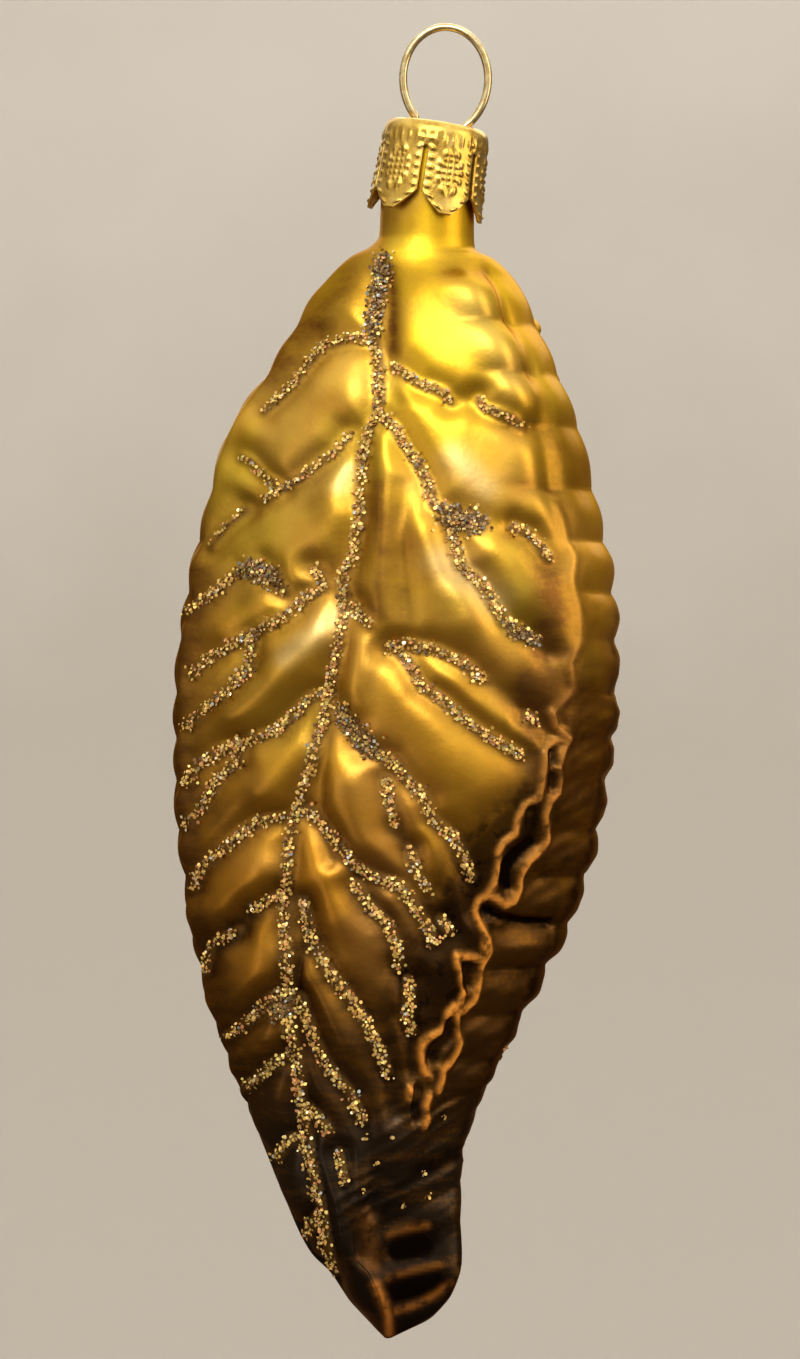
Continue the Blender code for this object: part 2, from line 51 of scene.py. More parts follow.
# The leaf's outline, as in the CAD model: (height, value)
MOUTH_HEIGHT = 10.4
NECK_FOOT_HEIGHT = 20.5
TIP_HEIGHT = 130.7
NECK_TILT = math.radians(8.5)
LEFT_EDGE = [
    (10.0, -5.4), (17.0, -6.4), (20.5, -6.6), (21.6, -7.5), (22.6, -9.5), (26.0, -12.4), (33.0, -16.7),
    (41.0, -21.8), (48.0, -23.7), (54.0, -25.2), (60.0, -26.2), (70.0, -26.8), (78.0, -26.6), (86.0, -25.6),
    (95.0, -23.9), (103.0, -21.3), (110.0, -18.4), (117.0, -15.6), (122.0, -13.2), (124.0, -11.2),
    (127.0, -9.2), (129.7, -7.0), (130.7, -6.0),
]
RIGHT_EDGE = [
    (10.0, 3.7), (17.0, 2.9), (20.5, 2.9), (21.8, 3.0), (22.8, 4.9), (25.0, 7.0), (29.0, 8.9), (34.0, 11.1),
    (40.0, 13.3), (47.0, 15.0), (54.0, 16.6), (61.0, 17.2), (69.0, 16.9), (76.0, 15.9), (83.0, 14.3),
    (89.0, 12.2), (95.0, 9.2), (102.0, 5.7), (108.0, 2.9), (112.5, 1.4), (118.0, 1.1), (123.0, 1.1),
    (126.0, 0.5), (128.3, -1.4), (130.0, -4.2), (130.7, -5.4),
]
THICKNESS = [
    (10.0, 9.1), (20.5, 9.5), (24.0, 12.5), (28.0, 16.5), (33.0, 20.0), (40.0, 23.0), (50.0, 25.5),
    (60.0, 26.5), (70.0, 26.0), (80.0, 24.5), (90.0, 22.0), (100.0, 18.5), (110.0, 14.5), (118.0, 11.5),
    (123.0, 9.5), (126.5, 7.0), (129.0, 4.2), (130.7, 0.6),
]
MARGIN_SHARE = [
    (20.5, 0.933), (25.0, 0.82), (30.0, 0.85), (35.0, 0.875), (45.0, 0.89), (60.0, 0.90), (70.0, 0.885),
    (75.0, 0.87), (80.0, 0.845), (85.0, 0.815), (90.0, 0.785), (102.0, 0.79), (109.0, 0.785),
    (111.4, 0.76), (114.4, 0.65), (117.4, 0.52), (120.4, 0.43), (124.4, 0.36), (130.7, 0.36),
]
# The heights between the scallops: the CAD model's down to 107.4, and in the tail a little closer
NOTCHES = [
    24.5, 29.5, 34.6, 39.7, 45.9, 51.0, 56.1, 60.9, 66.2, 70.7, 74.9, 79.9, 84.5, 89.4, 93.5, 98.2, 102.9,
    107.4, 111.5, 115.6, 119.6, 123.6, 127.6, 131.6,
]
MARGIN = 5.0
ROUND_SECTION = [
    (0.5 - 0.5 * math.cos(math.radians(30 * k)), -0.5 * math.sin(math.radians(30 * k))) for k in range(12)
]
LEAF_DEPTHS = [0.04, -0.07, -0.27, -0.42, -0.46, -0.36, -0.02, 0.28, 0.45, 0.50, 0.42, 0.24]
FRONT_SHARES = [0.04, 0.22, 0.50, 0.76, 1.0]
BACK_SHARES = [0.955, 0.72, 0.47, 0.20, 0.045]

# Fine surface
ROWS = 372
COLUMN_ZONES = [  # (from, to, count) round the section, closest at the two margins
    (0, 4.3, 84), (4.3, 5.35, 46), (5.35, 6.7, 40), (6.7, 7.3, 24), (7.3, 10.6, 40), (10.6, 12, 22),
]
FLUTE_DEPTH = 0.7
LEFT_FLUTE_DEPTH = 0.4
WAVE = 1.0
SPILL_DEPTH = 0.55  # the flutes' ends, which run over the right margin's upper part
FOLD_HEIGHT = 0.24
FOLD_PITCH = 1.5
RIPPLE_HEIGHT = 0.16
BACK_MARGIN_HEIGHT = 0.6
SHOULDER_DIP = 0.9
# The photograph's viewpoint, and the veins as seen from there on the plane y = 0: (x, height)
EYE = (-4.5, -600.0, -64.85)
FRAME_HEIGHT = 135.9  # what the photograph's 1359 pixels span on that plane
VEINS = {
    "midrib": [
        (-6.4, 22.6), (-7.0, 26.9), (-7.2, 30.0), (-6.7, 33.7), (-6.6, 36.7), (-7.0, 38.5), (-8.3, 42.4),
        (-8.6, 46.3), (-8.5, 48.5), (-9.4, 52.6), (-10.3, 54.8), (-10.2, 58.5), (-10.9, 61.8),
        (-11.6, 66.2), (-12.9, 71.4), (-14.5, 76.4), (-15.6, 81.2), (-16.0, 86.3), (-16.1, 89.7),
        (-15.7, 94.8), (-15.5, 97.1), (-15.9, 98.9), (-14.8, 102.6), (-14.4, 107.4), (-13.7, 112.2),
        (-12.7, 117.0), (-11.8, 121.8), (-11.1, 124.0),
    ],
    "left_1": [(-7.7, 30.9), (-9.7, 30.7), (-12.0, 31.3), (-13.4, 32.8), (-14.7, 34.8), (-16.4, 36.5),
        (-18.1, 37.9)],
    "left_2": [(-9.6, 40.2), (-10.9, 42.0), (-12.7, 43.3), (-14.6, 44.8), (-16.4, 45.7), (-17.9, 46.8)],
    "left_2_outer": [(-20.1, 47.8), (-22.0, 49.6), (-23.3, 51.5)],
    "left_2_fork": [(-16.4, 45.7), (-17.9, 44.8), (-19.6, 42.9), (-20.3, 42.6)],
    "left_3": [(-16.2, 56.1), (-17.1, 54.4), (-18.6, 53.3), (-20.5, 53.9), (-22.0, 55.3), (-23.8, 56.6),
        (-25.8, 58.1)],
    "left_4": [(-13.1, 53.7), (-12.0, 55.5), (-13.6, 56.4), (-15.3, 57.9), (-17.1, 59.2), (-19.4, 60.3),
        (-21.2, 61.3), (-23.4, 62.7), (-25.1, 64.2)],
    "left_4_fork": [(-19.4, 60.5), (-19.6, 61.8), (-19.7, 63.8), (-21.6, 65.9), (-23.8, 67.7),
        (-25.7, 69.4)],
    "left_5": [(-11.6, 66.1), (-13.4, 66.6), (-14.9, 68.1), (-16.8, 69.9), (-18.3, 70.5), (-20.5, 71.1),
        (-22.7, 72.2), (-24.5, 73.3), (-25.8, 75.1)],
    "left_5_fork": [(-20.5, 71.1), (-20.8, 73.1), (-22.7, 74.8), (-24.2, 77.5), (-25.8, 79.3)],
    "left_6": [(-16.4, 78.6), (-18.6, 79.0), (-20.5, 80.4), (-22.7, 82.3), (-24.6, 84.1), (-25.1, 85.6)],
    "left_7": [(-16.4, 86.3), (-19.2, 87.8)],
    "left_7_outer": [(-20.9, 90.0), (-23.4, 91.3), (-24.0, 94.1)],
    "left_8": [(-16.4, 96.0), (-17.5, 96.7), (-18.8, 98.2), (-20.9, 100.0), (-21.8, 100.4)],
    "left_9": [(-15.7, 102.6), (-17.0, 103.0), (-18.8, 104.8), (-19.9, 105.5)],
    "left_10": [(-14.4, 110.6), (-15.7, 110.9), (-16.8, 112.6)],
    "left_11": [(-13.3, 118.8), (-13.8, 120.3)],
    "right_1": [(-5.3, 33.5), (-4.4, 33.9), (-2.7, 35.2), (-0.1, 36.1), (0.6, 37.0)],
    "right_1_outer": [(3.4, 36.8), (3.9, 37.6), (5.1, 38.1), (6.5, 38.7), (7.6, 39.6)],
    "right_2": [(-6.2, 38.5), (-5.1, 39.6), (-3.8, 41.8), (-2.7, 43.3), (-1.8, 44.8), (-1.1, 47.4),
        (1.0, 48.1), (3.5, 49.1)],
    "right_2_lower": [(0.3, 48.9), (1.0, 51.5), (1.7, 53.7), (3.2, 54.8), (4.7, 57.0), (6.2, 59.2),
        (7.6, 60.1), (8.9, 60.9)],
    "right_2_outer": [(6.9, 49.6), (8.6, 50.3), (9.5, 51.5), (10.4, 52.7)],
    "short": [(-9.2, 57.4), (-7.5, 59.4)],
    "right_3": [(-5.7, 61.6), (-3.8, 61.3), (-0.9, 61.8), (1.7, 63.1), (3.8, 64.8)],
    "right_3_lower": [(-5.0, 61.9), (-3.8, 62.9), (-2.3, 65.5), (-0.1, 67.0), (2.1, 69.0), (4.3, 70.5),
        (7.5, 72.4)],
    "right_3_dot": [(8.4, 68.5), (8.8, 69.1)],
    "right_4": [(-10.5, 67.7), (-9.4, 69.6), (-8.6, 71.4), (-7.0, 72.2), (-5.3, 72.9), (-3.8, 74.8),
        (-2.0, 76.8), (-1.5, 78.6), (0.6, 80.4), (1.7, 82.3), (2.8, 84.7)],
    "right_4_inner": [(-6.0, 74.8), (-5.7, 76.7), (-5.0, 79.7)],
    "right_4_inner_end": [(-3.5, 81.9), (-2.8, 84.5), (-1.8, 86.0)],
    "right_5": [(-13.8, 77.9), (-12.4, 79.3), (-10.5, 81.5), (-9.0, 83.4), (-6.8, 84.7), (-4.6, 85.4),
        (-3.1, 87.5), (-1.7, 89.7), (-1.2, 91.1)],
    "right_5_dot": [(-0.4, 88.9), (0.4, 90.0)],
    "right_6": [(-9.0, 85.4), (-7.6, 87.5), (-5.7, 89.3), (-4.8, 91.5), (-4.6, 93.7)],
    "right_6_end": [(-3.6, 95.0), (-3.5, 97.1), (-3.9, 98.5), (-3.3, 100.0)],
    "right_7": [(-14.2, 87.1), (-13.7, 89.7), (-12.7, 92.3), (-11.3, 94.5), (-9.4, 96.7), (-7.9, 99.3),
        (-6.6, 101.9), (-5.7, 104.1)],
    "right_8": [(-14.6, 96.7), (-13.7, 99.3), (-12.7, 101.9), (-11.3, 104.1), (-9.4, 106.3), (-8.3, 108.9)],
    "right_8_end": [(-10.7, 112.2), (-10.0, 115.1)],
    "right_9": [(-13.8, 107.8), (-11.6, 110.0)],
}
BLOBS = {
    "right_2_blob": ([(0.4, 48.6), (3.4, 49.2)], 1.5),
    "left_3_blob": ([(-19.6, 53.8), (-17.2, 54.6)], 1.3),
    "right_4_blob": ([(-10.2, 68.6), (-7.4, 71.8)], 1.2),
    "right_2_end": ([(7.0, 60.0), (9.0, 61.0)], 0.9),
    "midrib_top": ([(-6.2, 23.0), (-7.2, 29.5)], 1.1),
    "midrib_ring": ([(-15.8, 97.5), (-17.2, 98.4)], 1.0),
}
# Sunk lines between the puffed lobes, besides those under the strands: (points, depth, width)
FURROWS = [
    ([(-5.6, 24.0), (-5.7, 29.0), (-5.5, 33.5), (-5.0, 37.0)], 0.7, 1.3),
    ([(-3.9, 45.5), (-4.1, 49.5), (-4.1, 54.5), (-3.8, 58.0), (-3.4, 60.5)], 0.35, 1.3),
    ([(-11.6, 68.0), (-12.4, 72.0), (-12.6, 76.0), (-12.2, 80.0), (-11.4, 83.0)], 0.7, 1.0),
    ([(-13.9, 87.5), (-14.1, 91.0), (-14.9, 94.0), (-15.0, 98.0)], 0.8, 0.8),
    ([(0.6, 37.0), (3.4, 36.8)], 0.8, 1.6),
    ([(-17.9, 46.8), (-20.1, 47.8)], 0.8, 1.6),
    ([(-5.0, 79.7), (-3.5, 81.9)], 0.9, 1.6),
    ([(-4.6, 93.7), (-3.6, 95.0)], 0.9, 1.6),
    ([(-19.2, 87.8), (-20.9, 90.0)], 0.9, 1.6),
    ([(3.5, 49.1), (6.9, 49.6)], 0.5, 1.5),
    ([(4.0, 64.8), (6.0, 66.5), (9.0, 68.6), (10.4, 70.2)], 0.8, 1.5),
    ([(8.9, 60.9), (10.2, 62.3)], 0.8, 1.4),
    ([(-8.3, 108.9), (-7.5, 111.5), (-7.0, 114.5), (-7.4, 117.5)], 0.6, 1.3),
    ([(-10.0, 115.1), (-9.3, 119.0), (-8.6, 122.5)], 0.6, 1.2),
    ([(2.8, 84.7), (3.0, 88.0)], 0.8, 1.5),
    ([(-3.3, 100.0), (-3.2, 104.0)], 0.8, 1.4),
    ([(-5.7, 104.1), (-5.2, 108.0)], 0.8, 1.4),
]
# Raised forms besides the margin's: (points, height, width)
RIBS = [
    ([(-6.0, 40.5), (-5.9, 45.0), (-6.1, 49.0), (-6.3, 53.0), (-6.8, 58.0), (-8.0, 62.5), (-9.2, 67.0)],
     0.6, 1.7),
    ([(2.5, 25.0), (5.5, 30.0), (8.0, 36.5)], 1.3, 3.4),
    ([(-13.0, 35.5), (-9.5, 36.5)], 0.4, 2.4),
    ([(-16.0, 54.6), (-10.5, 48.5)], 0.5, 2.2),
    ([(-21.5, 60.5), (-17.0, 58.0)], 0.4, 1.6),
    ([(-21.0, 68.5), (-16.0, 63.8), (-12.2, 60.8)], 0.8, 2.0),
    ([(-18.0, 76.0), (-13.8, 72.5)], 0.6, 2.0),
    ([(-23.5, 88.8), (-17.8, 84.0)], 0.7, 2.0),
    ([(-21.5, 97.3), (-17.0, 93.0)], 0.6, 2.0),
    ([(-20.5, 103.6), (-16.6, 100.2)], 0.4, 1.6),
    ([(2.0, 58.5), (-2.0, 50.5)], 0.7, 2.6),
    ([(8.0, 56.0), (5.0, 52.0)], 0.4, 2.2),
    ([(3.0, 75.5), (-4.0, 66.5)], 0.5, 2.8),
    ([(-9.0, 81.0), (-9.5, 75.5)], 0.6, 2.4),
    ([(-10.5, 88.5), (-11.5, 84.5)], 0.4, 2.0),
    ([(-9.5, 101.0), (-12.0, 94.5)], 0.4, 2.0),
]
LOBE_PUFF = 0.35
FURROW_DEPTH = 1.1
FURROW_WIDTH = 1.65
CREST_HEIGHT = 0.35
CREST_SPREAD = 0.55

# The margin's raised rubbed lines and the sunk pockets that they run round
CREST_LINE = [
    (11.1, 46.9), (12.1, 49.9), (12.9, 52.4), (12.6, 54.9), (13.2, 57.4), (13.5, 60.9), (12.2, 63.1),
    (12.7, 65.9), (10.6, 68.2), (11.1, 69.7), (12.3, 70.7),
]
MARGIN_LINES = [
    [(10.6, 68.2), (11.1, 69.7), (12.3, 70.7), (10.7, 71.1), (10.0, 72.1), (9.7, 73.9), (9.4, 75.7),
     (9.2, 76.6), (7.7, 77.5), (7.1, 78.9), (6.9, 80.2), (5.7, 81.1), (5.2, 82.1), (5.1, 83.7), (4.8, 85.3),
     (4.3, 86.4), (3.5, 87.1), (3.1, 88.1), (3.5, 89.4), (4.1, 90.7), (4.2, 91.9), (3.6, 92.8), (2.5, 92.6),
     (1.1, 92.4), (1.0, 93.1), (1.4, 94.4), (1.7, 95.9), (1.3, 97.2), (0.3, 98.1)],
    [(12.3, 70.7), (11.7, 71.9), (11.1, 73.4), (11.3, 74.9), (11.1, 76.1), (10.3, 76.9), (9.8, 78.4),
     (10.1, 79.7), (10.2, 80.9), (9.3, 82.0), (8.2, 83.0), (7.5, 84.3), (7.3, 85.7), (6.7, 86.9),
     (5.8, 87.3), (5.0, 86.7), (4.3, 86.4)],
    [(4.2, 91.9), (3.6, 93.4), (3.1, 95.4), (2.7, 96.9), (1.8, 97.9), (0.3, 98.1)],
    [(0.7, 97.4), (0.1, 98.1), (-0.2, 99.4), (-0.5, 99.9), (-1.5, 100.5), (-2.1, 101.1), (-2.4, 101.9),
     (-2.3, 103.1), (-2.1, 104.1), (-1.7, 104.6)],
    [(1.0, 98.4), (0.9, 99.7), (1.3, 101.1), (1.0, 102.1), (0.5, 103.1), (-0.4, 103.8), (-0.5, 104.7),
     (-0.9, 105.9)],
    [(-1.8, 106.4), (-2.2, 107.4), (-2.0, 108.7), (-2.3, 109.4)],
    [(-3.5, 105.7), (-3.6, 106.7)],
    [(3.7, 90.6), (3.7, 92.0)],
]
MARGIN_POCKETS = [  # (points, half width, how deep)
    ([(10.6, 72.2), (10.7, 73.1)], 0.5, 0.9),
    ([(10.8, 74.5), (10.7, 75.6)], 0.5, 0.9),
    ([(8.6, 77.7), (8.5, 79.0), (8.7, 80.2)], 0.50, 0.55),
    ([(8.6, 81.2), (7.1, 82.3), (6.2, 83.5), (6.0, 84.9), (6.2, 85.5)], 0.70, 1.0),
    ([(4.3, 88.1), (5.2, 88.5), (7.5, 89.1), (10.5, 89.3)], 0.5, 1.0),
    ([(2.2, 93.7), (2.1, 95.3)], 0.62, 0.9),
    ([(0.3, 99.2), (0.2, 100.5), (-0.9, 101.7), (-1.2, 102.8)], 0.65, 0.85),
    ([(-2.7, 105.8), (-2.9, 107.2), (-3.0, 108.8)], 0.45, 0.85),
]
EDGE_HEIGHT = 0.42
EDGE_WIDTH = 0.32
CREST_LINE_WIDTH = 0.5
POCKET_DEPTH = 0.55
CREST_LINE_HEIGHT = 0.2
BAND_HEIGHT = 0.12
# The tail's orange bands, partly worn lacquer and partly painted highlight: (points, width, how strong)
TAIL_BANDS = [
    ([(-7.9, 118.7), (-7.5, 121.0), (-7.4, 123.4)], 0.9, 0.22),
    ([(-5.7, 120.4), (-3.7, 119.8), (-1.9, 119.5)], 0.4, 0.35),
    ([(-5.7, 124.7), (-3.5, 124.1), (-0.5, 123.4)], 0.35, 0.4),
    ([(-7.0, 125.4), (-6.2, 127.0), (-5.7, 128.5), (-5.6, 130.2)], 0.5, 0.8),
    ([(-4.9, 128.1), (-2.5, 127.4), (-0.5, 126.1), (0.5, 125.2)], 0.4, 0.5),
]
TAIL_PANES = [([(-4.6, 121.9), (-2.2, 121.6)], 1.45, 1.0), ([(-4.7, 126.0), (-1.2, 125.2)], 1.4, 1.0)]
GLUE_WIDTH = 0.7
# Painted shade: lines darkened where the lobes' flanks and furrows fall into shade: (points, width,
# strength)
PAINTED_SHADE_LINES = [
    ([(-5.6, 23.8), (-5.3, 27.5), (-5.4, 31.8)], 0.8, 0.95),
    ([(-4.2, 48.0), (-4.3, 53.0), (-4.0, 58.5)], 1.0, 0.6),
    ([(-8.0, 47.0), (-8.4, 52.0), (-9.0, 56.0)], 0.8, 0.5),
    ([(-9.8, 25.2), (-13.5, 30.0), (-17.5, 34.0)], 2.6, 0.8),
    ([(-3.4, 24.3), (-2.8, 27.8)], 1.5, 0.4),
    ([(10.2, 53.6), (10.7, 58.0), (10.4, 62.4), (11.6, 67.0)], 2.4, 1.0),
    ([(-6.3, 45.5), (-6.1, 53.0), (-6.8, 58.0)], 1.2, 0.8),
    ([(8.2, 66.5), (9.4, 71.0), (8.8, 75.0)], 2.2, 0.95),
    ([(10.8, 40.0), (12.3, 44.5), (11.8, 48.0)], 2.2, 0.65),
    ([(-13.0, 43.5), (-12.0, 46.5)], 2.0, 0.5),
    ([(-19.6, 46.5), (-18.6, 49.5)], 1.7, 0.4),
    ([(12.0, 62.5), (13.2, 66.0)], 1.0, 0.5),
    ([(8.0, 64.5), (11.0, 67.6)], 1.2, 0.9),
    ([(-13.0, 47.5), (-11.0, 50.0)], 1.2, 0.4),
    ([(-22.5, 78.5), (-18.5, 75.5)], 1.6, 0.6),
    ([(-21.5, 67.8), (-17.5, 65.5)], 1.3, 0.5),
    ([(-9.0, 76.5), (-9.5, 80.0)], 1.6, 0.3),
    ([(-3.0, 50.5), (-2.0, 54.5)], 1.0, 0.4),
    ([(-7.2, 84.0), (-6.2, 90.0)], 2.0, 0.45),
    ([(-20.0, 57.0), (-17.0, 55.6)], 1.0, 0.5),
    ([(-23.0, 65.3), (-17.5, 62.4), (-14.5, 61.6)], 0.9, 0.35),
    ([(1.5, 86.5), (-1.5, 90.5), (-2.0, 96.0)], 2.0, 0.6),
    ([(-14.9, 94.0), (-14.3, 99.0), (-13.6, 104.0), (-12.9, 110.0)], 0.9, 0.85),
]
# Painted highlights: ridges coloured pale gold where they catch the light: (points, width, strength)
PAINTED_HIGHLIGHTS = [
    ([(-9.6, 43.8), (-10.6, 45.6)], 0.8, 0.45),
    ([(-10.9, 58.4), (-12.8, 60.4), (-15.6, 62.6)], 1.1, 0.4),
    ([(2.5, 28.0), (6.5, 35.0)], 1.8, 0.15),
    ([(0.8, 42.6), (4.0, 45.8)], 1.3, 0.35),
    ([(-0.5, 53.0), (5.0, 56.8)], 1.6, 0.4),
]

LACQUER_MASKS = ("height", "dark", "rubbed", "glued", "deep", "pale")
MOUTH_SHARE = 0.79  # the mouth's inner width in its outer one
DOWN_INSIDE = (-1.2, 0.0, -8.0)  # how the inner wall runs down the neck

# Glitter
FLAKES_PER_MM = 17
STRAND_HALF_WIDTH = 0.68
FLAKE_RADII = (0.10, 0.21)
FLAKE_THICKNESS = 0.03
FLAKE_LIFT = (0.03, 0.42)
STRAY_FLAKES = [(-0.4, 108.5), (-5.3, 110.5), (-6.8, 113.1), (-8.3, 115.9), (-1.7, 116.6), (-2.2, 114.0),
        (-7.9, 110.6), (-4.2, 117.4), (5.9, 101.6)]
# The strands that were drawn thinner or scattered more sparsely than the rest
THIN_STRANDS = {
    "left_1": 0.75, "left_2": 0.7, "left_2_fork": 0.6, "left_2_outer": 0.45, "left_7_outer": 0.8,
    "right_1": 0.85, "right_1_outer": 0.75, "left_3": 0.9, "right_2_outer": 0.9,
    "right_4_inner_end": 0.85, "right_8_end": 0.75,
}
BACK_VEINS = [
    "midrib", "left_1", "left_2", "left_2_outer", "left_4", "left_5", "left_6", "left_7", "left_8",
    "left_9", "right_1", "right_2", "right_2_lower", "right_3_lower", "right_4", "right_5", "right_6",
    "right_7", "right_8",
]
FLAKE_COLOURS = [  # (colour, share in a strand, share in the thick and dark places)
    ((0.76, 0.48, 0.11), 34, 16),
    ((0.88, 0.65, 0.20), 22, 10),
    ((0.70, 0.30, 0.12), 13, 8),
    ((0.30, 0.38, 0.42), 3, 14),
    ((0.50, 0.43, 0.10), 9, 10),
    ((0.90, 0.80, 0.50), 6, 8),
    ((0.12, 0.06, 0.02), 14, 140),
]

# Cap, as in the CAD model
CAP_TOP = (-0.7, 9.35)
CAP_RADIUS = 5.25
CAP_CORNER = 1.1
CAP_METAL = 0.4
CAP_LENGTH = 9.2
CAP_FLARE = 0.55
LOBES = 6
FIRST_SLIT = math.radians(-9)
SLIT_WIDTH = 0.5
SLIT_TOP = 2.7
LOBE_SHOULDER = 7.2
LOBE_TIP_WIDTH = 1.1
WIRE_HOLE_OFFSET = 2.35
WIRE_HOLE_RADIUS = 0.8
# Its stamped pattern
BORDER_WIDTH = 0.9
BEAD_PITCH = 0.95
BEAD_HEIGHT = 0.2
OVAL_DEPTH = 5.0
OVAL_HALF_WIDTH = 1.15
OVAL_HALF_HEIGHT = 2.1
OVAL_BEADS = 10
LATTICE_PITCH = 0.62
LATTICE_HEIGHT = 0.16
FAN_HEIGHT = 0.13

# Hanger: the CAD model's wire, with the ring's lower half drawn down straight into the cap's holes
WIRE_RADIUS = 0.4
RING_CENTRE = (0.05, 4.7)
RING_HALF_WIDTH = 4.25
RING_HALF_HEIGHT = 5.1
RING_LOWER_HALF_HEIGHT = 5.45
RING_OPENS = (math.radians(44), math.radians(26))
LEG_POINTS = [(2.35, 0.9), (2.75, 2.2), (2.75, 6.5), (2.5, 9.0), (2.5, 11.5), (3.6, 15.5)]


def smooth(table, at):
    """The values of a (height, value) table at these heights, by a cubic that never overshoots."""
    knots, values = np.array(table, float).T
    step = np.diff(knots)
    chord = np.diff(values) / step
    before, after = 2 * step[1:] + step[:-1], step[1:] + 2 * step[:-1]
    turns = chord[:-1] * chord[1:] <= 0
    low, high = np.where(turns, 1.0, chord[:-1]), np.where(turns, 1.0, chord[1:])
    inner = np.where(turns, 0.0, (before + after) / (before / low + after / high))
    slope = np.concatenate([[chord[0]], inner, [chord[-1]]])
    span = np.clip(np.searchsorted(knots, at, side="right") - 1, 0, len(step) - 1)
    t = np.clip((at - knots[span]) / step[span], 0.0, 1.0)
    start, end = values[span], values[span + 1]
    rise = step[span] * (slope[span] * (1 - t) - slope[span + 1] * t)
    return start * (1 - t) + end * t + t * (1 - t) * ((1 - 2 * t) * (start - end) + rise)


def ramp(value, low, high):
    t = np.clip((value - low) / (high - low), 0.0, 1.0)
    return t * t * (3 - 2 * t)


def window(value, low, high, soft):
    return ramp(value, low - soft, low + soft) * (1 - ramp(value, high - soft, high + soft))


def bell(distance, width):
    return np.exp(-((distance / width) ** 2))


def stations(height):
    margin = float(smooth(MARGIN_SHARE, height))
    shares = [0.0, *(margin * share for share in FRONT_SHARES), 1.0, *BACK_SHARES]
    leaf = np.column_stack([shares, LEAF_DEPTHS])
    blend = float(ramp(height, NECK_FOOT_HEIGHT, NECK_FOOT_HEIGHT + 4.5))
    return (1 - blend) * np.array(ROUND_SECTION) + blend * leaf


def section_spline(points, at):
    span = np.floor(at).astype(int)
    t = (at - span)[:, None]
    p0, p1, p2, p3 = (points[(span + shift) % len(points)] for shift in (-1, 0, 1, 2))
    square = 2 * p0 - 5 * p1 + 4 * p2 - p3
    cube = 3 * p1 - p0 - 3 * p2 + p3
    return 0.5 * (2 * p1 + (p2 - p0) * t + square * t**2 + cube * t**3)


def plain_ring(height, columns):
    left, right = float(smooth(LEFT_EDGE, height)), float(smooth(RIGHT_EDGE, height))
    share = section_spline(stations(height), columns)
    x = left + share[:, 0] * (right - left)
    y = share[:, 1] * float(smooth(THICKNESS, height))
    lean = math.tan(NECK_TILT) * (1 - ramp(height, NECK_FOOT_HEIGHT - 8, NECK_FOOT_HEIGHT))
    z = -(height + lean * (x - (left + right) / 2))
    return np.column_stack([x, y, z])


def across(x, height):
    """The x that mirrors this one in the leaf's outline at this height."""
    return smooth(LEFT_EDGE, height) + smooth(RIGHT_EDGE, height) - x


def near_line(x, height, line):
    """For each place, its distance from a line and how far along the line it is, from 0 to 1."""
    points = np.array(line, float)
    lengths = np.linalg.norm(np.diff(points, axis=0), axis=1)
    travelled = np.concatenate([[0.0], np.cumsum(lengths)])
    nearest = np.full(x.shape, 1e9)
    along = np.zeros(x.shape)
    for k, (start, end) in enumerate(zip(points, points[1:])):
        step = (end - start) / lengths[k]
        t = np.clip((x - start[0]) * step[0] + (height - start[1]) * step[1], 0.0, lengths[k])
        distance = np.hypot(x - start[0] - t * step[0], height - start[1] - t * step[1])
        closer = distance < nearest
        nearest = np.where(closer, distance, nearest)
        along = np.where(closer, (travelled[k] + t) / travelled[-1], along)
    return nearest, along


def wobble(x, y, z, scale, seed):
    """A smooth, slow unevenness between -1 and 1, as hand-blown glass has."""
    random = np.random.default_rng(seed)
    total = np.zeros(x.shape)
    for _ in range(6):
        wave = random.normal(size=3) / scale
        total += np.sin(wave[0] * x + wave[1] * y + wave[2] * z + random.uniform(0, 2 * math.pi))
    return total / 6


def widest(masks):
    return np.maximum.reduce(list(masks))


